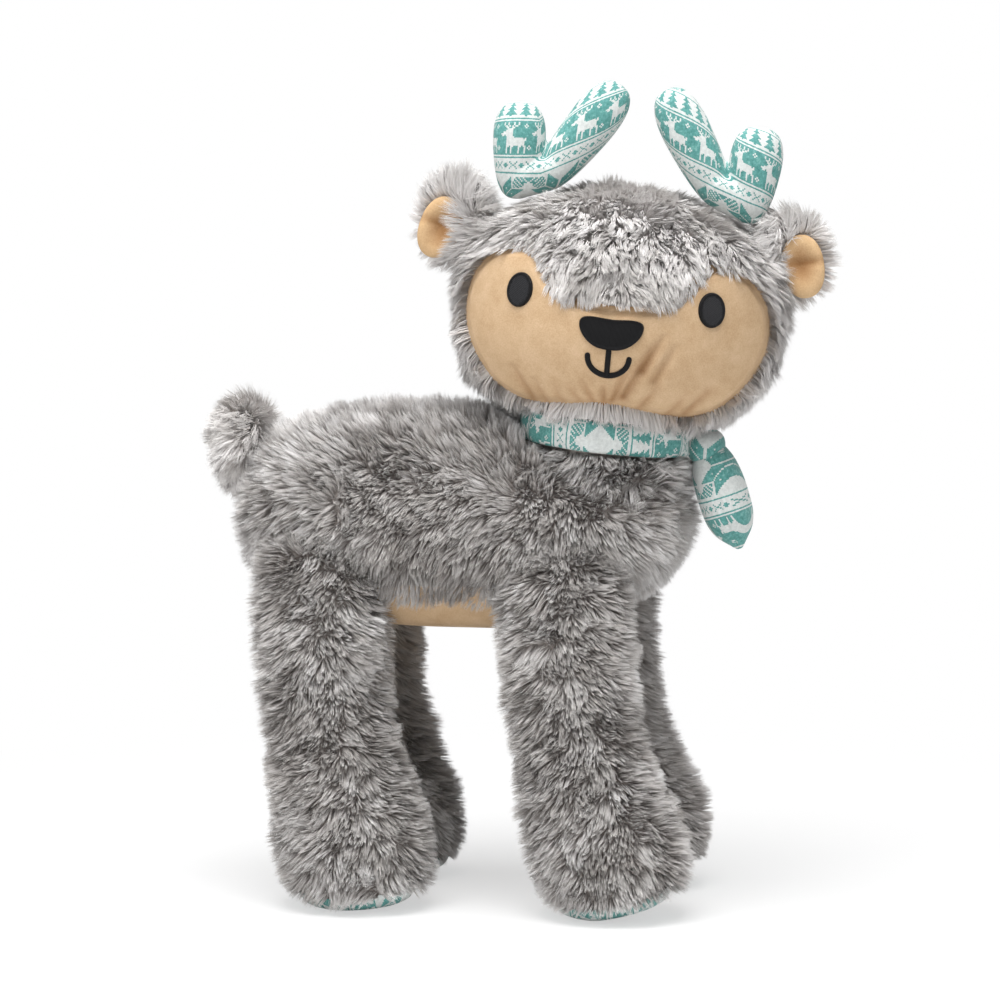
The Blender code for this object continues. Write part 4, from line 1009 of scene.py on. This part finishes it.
# %% Face panel
# From x, z at the gathered edge to x, z on the cheek, then half width and depth, in millimetres
CREASES = (
    (8, -37, 21, -9, 2.0, 4.2), (3, -39, 9, -22, 1.8, 3.6), (16, -23, 25, -4, 1.9, 3.2),
    (22, -27, 31, -8, 2.1, 2.6),
    (-1, -43, -1, -30, 1.6, 4.5), (-5, -42, -12, -29, 1.9, 3.6), (-10, -44, -19, -32, 2.0, 2.6),
    (-34, -44, -46, -26, 2.3, 3.4), (-27, -45, -35, -31, 2.0, 2.4), (37, -43, 50, -26, 2.3, 3.4),
    (28, -45, 39, -30, 2.1, 2.6), (14, -44, 26, -27, 2.0, 3.0), (-19, -45, -26, -32, 1.9, 2.2),
    (-20, 6, 20, 6, 1.1, 1.6), (20, 6, -20, 6, 1.1, 1.6),
)


def creased(flat):
    """Depth of the gathered creases at flat points of the face."""
    depth = np.zeros(len(flat))
    for x0, z0, x1, z1, half_width, deep in CREASES:
        start, run = np.array((x0, z0)) * MM, np.array((x1 - x0, z1 - z0)) * MM
        way = np.clip((flat - start) @ run / (run @ run), 0, 1)
        off = np.linalg.norm(flat - start - way[:, None] * run, axis=1) / (half_width * MM)
        depth += deep * MM * np.exp(-off ** 1.4) * (1 - way) ** 0.6
    return np.minimum(depth, 4.6 * MM)


def make_panel(form, facets, flat_of, outline, seam, swell, soft, extra=None):
    """A velour panel on a form, sunk at its seam and full inside it."""
    mesh, units = sphere_points(facets)
    at_cloth = form(units, 0.0)
    flat, faces_window = flat_of(at_cloth)
    inside = np.where(faces_window, depth_inside(outline, flat), -1)
    growth = seam + (swell - seam) * soft_step(inside / soft)
    if extra is not None:
        growth = growth - extra(flat) * soft_step(inside / soft)
    points = form(units, growth)
    points[:, 2] = np.maximum(points[:, 2], 0.25 * MM)
    place_points(mesh, points)
    far_out = [vertex for vertex, depth in zip(mesh.verts, inside) if depth < -2.5 * MM]
    bmesh.ops.delete(mesh, geom=far_out, context="VERTS")
    return mesh


mesh = make_panel(head_form, (480, 320), face_flat, face_outline, -1.0 * MM, 1.8 * MM, 5 * MM, creased)
# Painted shade in the creases: the fold value, from each point's crease depth, darkens the velour
fold = mesh.verts.layers.float.new("fold")
flat, _ = face_flat(np.array([vertex.co for vertex in mesh.verts]))
for vertex, depth in zip(mesh.verts, creased(flat)):
    vertex[fold] = 0.75 * min(depth / (4.0 * MM), 1.0)
add_piece("face_velour", mesh, tan_velour, "head", "face_panel")

# %% [markdown]
# ## Embroidery
#
# A stitched patch is a low cushion of thread. It is a squashed sphere whose outline is the drawing:
# the angle round the sphere picks the point of the outline, and the height picks how far in.

# %% Stitched eyes and nose
def patch_points(units, outline, centre, rise, rim):
    """Flat places and heights of a patch whose edge is a closed outline round its centre."""
    angle = np.arctan2(units[:, 1], units[:, 0])
    out = outline - centre
    around = np.arctan2(out[:, 1], out[:, 0])
    order = np.argsort(around)
    radius = np.interp(angle, around[order], np.linalg.norm(out, axis=1)[order], period=2 * math.pi)
    share = np.minimum(np.hypot(units[:, 0], units[:, 1]) * 1.02, 1.0) ** 0.8
    from_edge = radius * (1 - share)
    round_over = np.sqrt(np.clip(1 - (1 - np.clip(from_edge / (0.8 * MM), 0, 1)) ** 2, 0, 1))
    cord = np.exp(-((from_edge - rim / 2) / (rim / 2)) ** 2)
    height = round_over * (rise * 0.7 + rise * 0.3 * cord)
    flat = centre + np.stack((np.cos(angle), np.sin(angle)), axis=1) * (radius * share)[:, None]
    return flat, np.where(units[:, 2] < 0, -0.8 * MM, height), from_edge


face_cloth, units = sphere_points((160, 100))
place_points(face_cloth, head_local(units, 1.7 * MM))
head_front = BVHTree.FromBMesh(face_cloth)
face_cloth.free()


def onto_face(flat, height):
    """Places in the head's frame at heights above the face panel."""
    points = []
    for (x, z), lift in zip(flat, height):
        hit = head_front.ray_cast(Vector((x, -0.2, z)), Vector((0, 1, 0)))
        points.append(hit[0] + hit[1] * float(lift))
    return moved(np.array(points), head_frame)


def make_patch(name, outline, centre, rise, rim, material):
    """An embroidered patch on the face."""
    mesh, units = sphere_points((120, 48))
    flat, height, from_edge = patch_points(units, outline, np.array(centre), rise, rim)
    place_points(mesh, onto_face(flat, height))
    mesh.verts.index_update()
    add_uv(mesh, "cloth", flat)
    mesh.faces.ensure_lookup_table()
    for face in mesh.faces:
        face.material_index = int(min(from_edge[vertex.index] for vertex in face.verts) < rim)
    piece = add_piece(name, mesh, material, "head", name)
    piece.data.materials.append(satin_thread)
    return piece


NOSE_OUTLINE_SHARES = (
    (0.00, -1.00), (0.36, -0.92), (0.67, -0.60), (0.91, -0.06), (1.00, 0.50), (0.92, 0.86),
    (0.62, 0.99), (0.00, 0.92),
)
nose_outline = both_sides(NOSE_OUTLINE_SHARES, 15 * MM, 7.4 * MM, 7 * MM)
make_patch("nose_embroidery", nose_outline, (0, -6 * MM), 1.5 * MM, 1.6 * MM, satin_thread)
for word, side in SIDES:
    turns = np.linspace(0, 2 * math.pi, 60, endpoint=False)
    tilt = side * math.radians(8)
    x, z = 6.1 * MM * np.cos(turns), 8.2 * MM * np.sin(turns)
    eye = np.stack((side * 44.6 * MM + x * math.cos(tilt) - z * math.sin(tilt),
                    8 * MM + x * math.sin(tilt) + z * math.cos(tilt)), axis=1)
    make_patch("eye_embroidery_" + word, eye, (side * 44.6 * MM, 8 * MM), 1.4 * MM, 1.5 * MM, fill_thread)

# %% [markdown]
# The mouth is a line of satin stitch: a round cord, pressed half flat, along an upright stem and a
# smiling curve.

# %% Stitched mouth
def append_mesh(whole, part):
    """Add one bmesh to another, and free it."""
    data = bpy.data.meshes.new("part")
    part.to_mesh(data)
    part.free()
    whole.from_mesh(data)
    bpy.data.meshes.remove(data)


def stitched_line(path, half_width):
    """A bevelled curve along flat places, made a mesh."""
    curve = bpy.data.curves.new("stitch_path", "CURVE")
    curve.dimensions = "3D"
    curve.bevel_depth = half_width
    curve.bevel_resolution = 4
    curve.use_fill_caps = True
    spline = curve.splines.new("POLY")
    spline.points.add(len(path) - 1)
    for point, (x, z) in zip(spline.points, path):
        point.co = (x, z, 0, 1)
    holder = bpy.data.objects.new("stitch_path", curve)
    mesh = bmesh.new()
    mesh.from_mesh(bpy.data.meshes.new_from_object(holder))
    bpy.data.objects.remove(holder)
    for x, z in (path[0], path[-1]):
        bmesh.ops.create_uvsphere(mesh, u_segments=16, v_segments=10, radius=half_width,
                                  matrix=Matrix.Translation((x, z, 0)))
    return mesh


mouth = bmesh.new()
stem = [(0, -(14.8 + 11.6 * step / 10) * MM) for step in range(11)]
turns = [math.pi * step / 28 for step in range(29)]
smile = [(-math.cos(turn) * 9.6 * MM, -(17.8 + math.sin(turn) * 8.6) * MM) for turn in turns]
for path in (stem, smile):
    append_mesh(mouth, stitched_line(path, 1.3 * MM))
bmesh.ops.remove_doubles(mouth, verts=mouth.verts, dist=0.001 * MM)
flat = np.array([vertex.co[:2] for vertex in mouth.verts])
height = np.array([vertex.co[2] for vertex in mouth.verts]) * 0.55 + 0.35 * MM
for vertex, point in zip(mouth.verts, onto_face(flat, height)):
    vertex.co = point
bmesh.ops.recalc_face_normals(mouth, faces=mouth.faces)
mouth.verts.index_update()
add_uv(mouth, "cloth", flat)
add_piece("mouth_embroidery", mouth, satin_thread, "head", "mouth_embroidery")

# %% [markdown]
# ## Ears and tail
#
# An ear is a flat fur bag, lined in front with velour that folds inwards. The tail is a round tuft
# with its pile standing out all round.

# %% Ears
EAR_FORM_SHARES = ((0.00, 0.90, 0.90), (0.28, 0.96, 0.96), (0.60, 1.00, 1.00), (1.00, 0.84, 0.84))
LINING_FORM_SHARES = ((0.00, 1.00, 1.00), (1.00, 1.00, 1.00))
LINING_REACH, LINING_DROP = 6.5 * MM, 4 * MM
LINING_HALF_LENGTH, LINING_HALF_HEIGHT = 9.5 * MM, 14.5 * MM
EARS_ASKEW = Vector((-2.5 * MM, 0, 0))  # both ears are sewn on a little to the deer's right
EAR_SPACING = 0.48 * MM
for word, side in SIDES:
    joint = "ear_" + word + "_fold"
    turned = head_frame.to_3x3()
    place = Matrix.Translation(hinges[joint] + turned @ EARS_ASKEW) @ turned.to_4x4()
    way = Vector((side * math.cos(math.radians(14)), 0, math.sin(math.radians(14))))
    lift = Vector((-side * way.z, 0, side * way.x))
    drop = lift * (1.0 * MM)
    leaf = limb_form(way * (-16 * MM) + drop, way * (20 * MM) + drop, 22.5 * MM, 9 * MM,
                     EAR_FORM_SHARES, 2.5, place)
    ear_mesh, _ = make_backing(
        "ear_" + word + "_coat", leaf, (40, 28), "ear_" + word, "ear_" + word, growth=-4.5 * MM)
    roots, up = scatter(ear_mesh, EAR_SPACING)
    lift = np.array(lift)
    local = moved(roots, place.inverted())
    reach, rise = local @ np.array(way) - LINING_REACH, local @ lift + LINING_DROP
    across = np.hypot(reach / LINING_HALF_LENGTH, rise / LINING_HALF_HEIGHT)
    roots, up = keep(roots, up, ~((across < 1) & (local[:, 1] < 0)))
    local = moved(roots, place.inverted())
    reach, rise = local @ np.array(way) - LINING_REACH, local @ lift + LINING_DROP
    inner = (local[:, 1] < 0) * np.clip(-reach / (6 * MM), 0, 1)
    upper = np.clip(rise / (14 * MM), 0, 1) * np.clip(1 - (reach + 4 * MM) / (12 * MM), 0, 1)
    out = np.array(way) * 0.7 + unit_rows(local - np.array(way) * 8 * MM) * 0.8
    out = out + inner[:, None] * (np.array(way) * 0.9 - lift * 0.6) - upper[:, None] * np.array(way) * 1.6
    flow = out @ np.array(place.to_3x3()).T
    length, lean = (10.0 + 1.5 * inner + 3.0 * upper) * MM, 0.7 + 0.15 * inner + 0.3 * upper
    laid = lay_pile(roots, up, flow, length, lean, EAR_SPACING, tuft=6 * MM, lock=1.8 * MM, tone_and_painted_light=0.85,
                    gather=0.1)
    write_blades("ear_" + word + "_pile", laid, pile_painted_light, "ear_" + word, 0.38 * MM)
    front = Vector((0, -6.2 * MM, 0)) - Vector(lift) * LINING_DROP
    inset = limb_form(
        way * (LINING_REACH - LINING_HALF_LENGTH) + front, way * (LINING_REACH + LINING_HALF_LENGTH) + front,
        LINING_HALF_HEIGHT, 4 * MM, LINING_FORM_SHARES, 2.2, place)
    mesh, units = sphere_points((72, 48))
    points = moved(inset(units, 0.6 * MM), place.inverted())
    reach, rise = points @ np.array(way) - LINING_REACH, points @ lift + LINING_DROP
    cup = np.exp(-((reach + 1 * MM) / (6.5 * MM)) ** 2 - (rise / (9 * MM)) ** 2)
    fold = np.exp(-((rise - 1.5 * MM) / (2.4 * MM)) ** 2) * np.exp(-(reach / (10 * MM)) ** 2)
    points[:, 1] += np.where(points[:, 1] < front.y, (5.0 * cup + 1.4 * fold) * MM, 0)
    place_points(mesh, moved(points, place))
    # Painted shade: the deep middle of the cup and the fold are darkened in colour through the fold value
    painted_fold_shade = mesh.verts.layers.float.new("fold")
    for vertex, amount in zip(mesh.verts, np.maximum(0.8 * cup, 0.9 * fold)):
        vertex[painted_fold_shade] = amount
    add_piece("ear_lining_" + word + "_velour", mesh, ear_velour_painted_light, "ear_" + word,
              "ear_lining_" + word)

# %% Tail
TAIL_FORM_SHARES = ((0.00, 0.80, 0.75), (0.25, 0.94, 0.92), (0.60, 1.04, 1.02), (1.00, 0.94, 0.94))
tail_way = Vector((0, math.cos(math.radians(4)), -math.sin(math.radians(4))))
tail_place = Matrix.Translation(hinges["tail_bend"])
tail_drop = Vector((0, 0, -5 * MM))
ball = limb_form(tail_way * (-18 * MM) + tail_drop, tail_way * (18 * MM) + tail_drop, 24 * MM, 26 * MM,
                 TAIL_FORM_SHARES, 2.5, tail_place, Vector((1, 0, 0)))
tail_mesh, _ = make_backing("tail_coat", ball, (40, 28), "tail", "tail", growth=-8 * MM)
roots, up = scatter(tail_mesh, HAIR_SPACING)
local = moved(roots, tail_place.inverted())
flow = unit_rows(local) * 0.35 + np.array(tail_way) * 0.8
flow[:, 2] -= 0.3
laid = lay_pile(roots, up, flow, 13.0 * MM, 0.55, HAIR_SPACING, tuft=6 * MM, lock=1.8 * MM, tone_and_painted_light=0.7,
                gather=0.1)
write_blades("tail_pile", laid, pile_painted_light, "tail", 0.38 * MM)

# %% [markdown]
# ## Belly and soles
#
# The belly and the soles are velour panels in their windows, made as the face is, and seen from below.

# %% Belly panel
BELLY_VIEW_TOP = 156 * MM


def belly_flat(points):
    """Flat places under the body, and which of them look down."""
    return flat_under(points), points[:, 2] < BELLY_VIEW_TOP


mesh = make_panel(body_form, (200, 160), belly_flat, belly_outline, -1.0 * MM, 6.0 * MM, 24 * MM)
add_piece("belly_velour", mesh, tan_velour, "torso", "belly_panel")


# %% Soles
def sole_flat_of(side, settings):
    """Flat places of one foot, seen from below."""
    def flat_of(points):
        return points[:, :2] - foot_middle(side, settings), points[:, 2] < SOLE_TOP
    return flat_of


for name, (form, _, _, side, settings) in leg_parts.items():
    turns = np.linspace(0, 2 * math.pi, 48, endpoint=False)
    oval = np.stack((SOLE_HALF_WIDTH * np.cos(turns), SOLE_HALF_LENGTH * np.sin(turns)), axis=1)
    flat_of = sole_flat_of(side, settings)
    mesh = make_panel(form, (120, 120), flat_of, oval, 0.0, 2.2 * MM, 5 * MM)
    mesh.verts.index_update()
    points = np.array([vertex.co for vertex in mesh.verts])
    add_uv(mesh, "cloth", flat_of(points)[0] + np.array((5 * MM, 12 * MM)))
    add_piece(name + "_sole_velour", mesh, printed_velour, "torso", name + "_sole")

# %% [markdown]
# ## Antlers
#
# Each antler is one flat bag with two round lobes. Three swelling forms are made, a palm and two
# lobes, and a voxel remesh melts them into one skin, whose crotch is then smoothed as stuffing does.

# %% Antlers
LOBE_FORM_SHARES = ((0.00, 0.80, 0.72), (0.25, 0.86, 0.88), (0.65, 1.00, 1.00), (1.00, 1.06, 1.00))
LOBE_HALF_THICKNESS = 10.4 * MM
for word, side in SIDES:
    place = Matrix.Translation(hinges["antler_" + word + "_bend"]) @ head_frame.to_3x3().to_4x4()
    axis = Vector((side * math.cos(math.radians(20)), 0, -math.sin(math.radians(20))))
    blob = bmesh.new()
    for root, start_rise, tip_side, tip_rise, half in (
        (0, 0, 3, 8, 19), (-7, 0, -29, 45, 11.8), (10, 0, 2, 38, 12.8),
    ):
        start = axis * (root * MM) + Vector((0, 0, start_rise * MM))
        end = start + Vector((side * tip_side * MM, 0, tip_rise * MM))
        start = start - (end - start).normalized() * 8 * MM
        lobe = limb_form(start, end, half * MM, LOBE_HALF_THICKNESS, LOBE_FORM_SHARES, 2.8, Matrix())
        part, units = sphere_points((64, 48))
        place_points(part, lobe(units, 0.0))
        append_mesh(blob, part)
    data = bpy.data.meshes.new("antler_forms")
    blob.to_mesh(data)
    blob.free()
    holder = bpy.data.objects.new("antler_forms", data)
    bpy.context.scene.collection.objects.link(holder)
    remesh = holder.modifiers.new("melt", "REMESH")
    remesh.mode = "VOXEL"
    remesh.voxel_size = 0.9 * MM
    melted = bpy.data.meshes.new_from_object(holder.evaluated_get(bpy.context.evaluated_depsgraph_get()))
    bpy.data.objects.remove(holder)
    mesh = bmesh.new()
    mesh.from_mesh(melted)
    bpy.data.meshes.remove(melted)
    for step in range(8):
        bmesh.ops.smooth_vert(
            mesh, verts=mesh.verts, factor=0.5, use_axis_x=True, use_axis_y=True, use_axis_z=True)
    mesh.normal_update()
    mesh.verts.index_update()
    points = np.array([vertex.co for vertex in mesh.verts])
    normals = np.array([vertex.normal for vertex in mesh.verts])
    rim = np.clip(LOBE_HALF_THICKNESS - np.abs(points[:, 1]), 0, 1)
    across = points[:, 0] + normals[:, 0] * rim
    along = points[:, 2] + normals[:, 2] * rim * 0.6
    slope = 0.32 * across if side > 0 else -0.1 * across - 0.4 * np.maximum(across - 2 * MM, 0)
    add_uv(mesh, "cloth", np.stack((across + 3 * MM, 39 * MM - along - slope), axis=1))
    for vertex, point in zip(mesh.verts, moved(points, place)):
        vertex.co = point
    mesh.normal_update()
    add_piece("antler_" + word + "_velour", mesh, printed_velour, "antler_" + word,
              "antler_" + word)

# %% [markdown]
# ## Scarf and neck
#
# The band is a flat ring spun round the neck, with shallow creases all round it. The knot and the
# end are stuffed limbs, the end with a seam down each edge. The neck is hidden behind them.

# %% Scarf band
BAND_PRINT_SHIFT = 47 * MM  # brings the deer of the print to the side that shows
mesh = bmesh.new()
steps = 24
ring = []
for step in range(steps):
    turn = 2 * math.pi * step / steps
    across, rise = (math.copysign(abs(value) ** 0.55, value) for value in (math.cos(turn), math.sin(turn)))
    radius = BAND_OUTER_RADIUS - BAND_THICKNESS / 2 + BAND_THICKNESS / 2 * across
    height = BAND_TOP - BAND_HEIGHT / 2 + BAND_HEIGHT / 2 * rise
    ring.append(mesh.verts.new((radius, 0, height)))
edges = [mesh.edges.new((ring[index], ring[(index + 1) % steps])) for index in range(steps)]
bmesh.ops.spin(mesh, geom=ring + edges, axis=(0, 0, 1), cent=(0, 0, 0), angle=2 * math.pi, steps=180,
               use_merge=True, use_duplicate=False)
bmesh.ops.remove_doubles(mesh, verts=mesh.verts, dist=0.01 * MM)
points = np.array([vertex.co for vertex in mesh.verts])
turn = np.arctan2(points[:, 0], -points[:, 1])
crease = 0.5 * MM * np.sin(turn * 9 + points[:, 2] / (3 * MM)) + 0.3 * MM * np.sin(turn * 23)
radius = np.hypot(points[:, 0], points[:, 1])
outside = np.clip((radius - BAND_OUTER_RADIUS + BAND_THICKNESS) / BAND_THICKNESS, 0, 1)
points[:, :2] *= (1 + crease * outside / radius)[:, None]
place_points(mesh, moved(points, neck_frame))
mesh.verts.index_update()
around = turn * BAND_OUTER_RADIUS + BAND_PRINT_SHIFT
add_uv(mesh, "cloth", np.stack((points[:, 2] + 60 * MM, around), axis=1))
add_piece("scarf_band_velour", mesh, printed_velour, "torso", "scarf_band")

# %% Knot
KNOT_HALF_HEIGHT, KNOT_HALF_WIDTH, KNOT_HALF_DEPTH = 8.5 * MM, 13 * MM, 9 * MM
KNOT_FORM_SHARES = ((0.0, 0.9, 0.9), (0.5, 1.0, 1.0), (1.0, 0.9, 0.9))
knot_back = -(BAND_OUTER_RADIUS + KNOT_HALF_DEPTH - BAND_THICKNESS / 2)
knot_rise = BAND_TOP - BAND_HEIGHT / 2 - KNOT_HALF_HEIGHT / 4
knot = limb_form(
    Vector((0, knot_back, knot_rise - KNOT_HALF_HEIGHT)), Vector((0, knot_back, knot_rise + KNOT_HALF_HEIGHT)),
    KNOT_HALF_WIDTH, KNOT_HALF_DEPTH, KNOT_FORM_SHARES, 3.0, neck_frame)
mesh, units = sphere_points((64, 40))
points = knot(units, 0.0)
place_points(mesh, points)
mesh.verts.index_update()
local = moved(points, neck_frame.inverted())
add_uv(mesh, "cloth", local[:, [1, 2]] + np.array((0, 120 * MM)))
add_piece("scarf_knot_velour", mesh, printed_velour, "torso", "scarf_knot")

# %% Hanging end
END_FORM_SHARES = (
    (0.00, 0.70, 0.80), (0.22, 0.86, 0.98), (0.56, 1.00, 1.04), (0.82, 0.80, 0.90), (1.00, 0.26, 0.32))
end_place = Matrix.Translation(hinges["scarf_end_swing"]) @ neck_frame.to_3x3().to_4x4() @ Matrix.Rotation(
    math.radians(-24), 4, "X")
end_form = limb_form(Vector((0, 0, 12 * MM)), Vector((0, 0, -42 * MM)), 17 * MM, 11.5 * MM,
                     END_FORM_SHARES, 3.0, end_place)
mesh, units = sphere_points((96, 72))
seam = np.exp(-(units[:, 1] / 0.07) ** 2) * np.sqrt(np.clip(1 - units[:, 2] ** 2, 0, 1))
points = end_form(units, -0.9 * MM * seam)
place_points(mesh, points)
mesh.verts.index_update()
local = moved(points, end_place.inverted())
add_uv(mesh, "cloth", np.stack((local[:, 1] + local[:, 0] * 0.6, local[:, 2] + 52 * MM), axis=1))
add_piece("scarf_end_velour", mesh, printed_velour, "scarf_end", "scarf_end")

# %% Neck
mesh, units = sphere_points((48, 24))
unit = boxed(units, 6.0, 2.0)
points = np.stack((
    unit[:, 0] * 35.5 * MM, unit[:, 1] * 35.5 * MM, BAND_TOP - 22 * MM + unit[:, 2] * 21 * MM), axis=1)
place_points(mesh, moved(points, neck_frame))
neck_copy = mesh.copy()
add_piece("neck_coat", mesh, grey_backing, "torso", "neck")
roots, up = scatter(neck_copy, HAIR_SPACING)
local = moved(roots, neck_frame.inverted())
below_band = (local[:, 2] < BAND_TOP - BAND_HEIGHT - 1 * MM) & (local[:, 2] > BAND_TOP - 32 * MM)
roots, up = keep(roots, up, below_band)
flow = up + np.array((0, 0, -0.5))
# Painted light: the neck's hairs, in the shadow of the band, get a much paler tone than the body's
laid = lay_pile(roots, up, flow, 12 * MM, 0.35, HAIR_SPACING, over_collar, tone_and_painted_light=0.85)
write_blades("neck_pile", laid, grey_pile, "torso", HAIR_WIDTH, bent=False)

# %% [markdown]
# ## Floor, light and camera
#
# A pale floor and broad soft lights, as in a product studio. The backdrop is white for the camera
# alone, so that the light on the cloth stays plain.

# %% Floor
def add_shown(tree):
    """A node that is 1 for rays from the camera, or seen in a mirror or through glass."""
    ray = add_node(tree, "ShaderNodeLightPath")
    shown = add_node(tree, "ShaderNodeMath", {"operation": "MAXIMUM"}, {
        0: ray.outputs["Is Glossy Ray"], 1: ray.outputs["Is Transmission Ray"]})
    return add_node(tree, "ShaderNodeMath", {"operation": "MAXIMUM"}, {
        0: ray.outputs["Is Camera Ray"], 1: shown.outputs[0]})


floor_mesh = bmesh.new()
bmesh.ops.create_grid(floor_mesh, x_segments=2, y_segments=2, size=6.0)
data = bpy.data.meshes.new("studio_floor")
floor_mesh.to_mesh(data)
floor_mesh.free()
floor = bpy.data.objects.new("studio_floor", data)
bpy.context.scene.collection.objects.link(floor)
material, tree, shader = new_cloth("studio_floor_painted", 0.9)
shader.inputs["Base Color"].default_value = linear("#f3f3f3")
place = add_node(tree, "ShaderNodeTexCoord")
away = add_node(tree, "ShaderNodeVectorMath", {"operation": "LENGTH"}, {0: place.outputs["Object"]})
far = add_node(tree, "ShaderNodeMapRange", {"interpolation_type": "SMOOTHSTEP"}, {
    "Value": away.outputs["Value"], "From Min": 0.12, "From Max": 0.5, "To Min": 0.55, "To Max": 1.0})
seen = add_node(tree, "ShaderNodeMath", {"operation": "MULTIPLY"}, {
    0: add_shown(tree).outputs[0], 1: far.outputs["Result"]})
glow = add_node(tree, "ShaderNodeEmission", inputs={"Color": (1, 1, 1, 1), "Strength": 1.0})
mix = add_node(tree, "ShaderNodeMixShader", inputs={
    0: seen.outputs[0], 1: shader.outputs["BSDF"], 2: glow.outputs["Emission"]})
tree.links.new(mix.outputs["Shader"], tree.nodes["Material Output"].inputs["Surface"])
data.materials.append(material)
print("floor nodes", len(tree.nodes))

# %% World
world = bpy.data.worlds.new("studio")
bpy.context.scene.world = world
world.use_nodes = True
tree = world.node_tree
strength = add_node(tree, "ShaderNodeMix", {"data_type": "FLOAT"}, {
    "Factor": add_shown(tree).outputs[0], "A": 0.37, "B": 1.0})
background = tree.nodes["Background"]
background.inputs["Color"].default_value = (1, 1, 1, 1)
tree.links.new(strength.outputs["Result"], background.inputs["Strength"])
print("world nodes", len(tree.nodes))

# %% Lights and camera
target = Vector((0, 0, 193.5 * MM)) + Vector((0, shift.y, 0))


def from_view(azimuth, elevation, distance):
    """A place round the target, azimuth 0 being in front."""
    turn, rise = math.radians(azimuth), math.radians(elevation)
    level = math.cos(rise)
    return target + distance * Vector((math.sin(turn) * level, -math.cos(turn) * level, math.sin(rise)))


def aim(obj, place):
    """Put an object at a place, looking at the target."""
    obj.location = place
    obj.rotation_euler = (target - place).to_track_quat("-Z", "Y").to_euler()
    bpy.context.scene.collection.objects.link(obj)


for name, azimuth, elevation, distance, size, power in (
    ("top_softbox", -88, 72, 1.5, 1.2, 34), ("key_softbox", -130, 30, 1.6, 0.9, 5),
    ("fill_softbox", -35, 30, 1.6, 1.2, 1.0),
):
    lamp = bpy.data.lights.new(name, "AREA")
    lamp.size = size
    lamp.energy = power
    aim(bpy.data.objects.new(name, lamp), from_view(azimuth, elevation, distance))

camera_data = bpy.data.cameras.new("camera")
camera_data.lens = 134.2
camera_data.sensor_width = 36.0
camera = bpy.data.objects.new("camera", camera_data)
aim(camera, from_view(-79, 6, 1.8))
bpy.context.scene.camera = camera
bpy.context.scene.view_settings.view_transform = "Standard"
print("camera at", [round(value, 3) for value in camera.location])
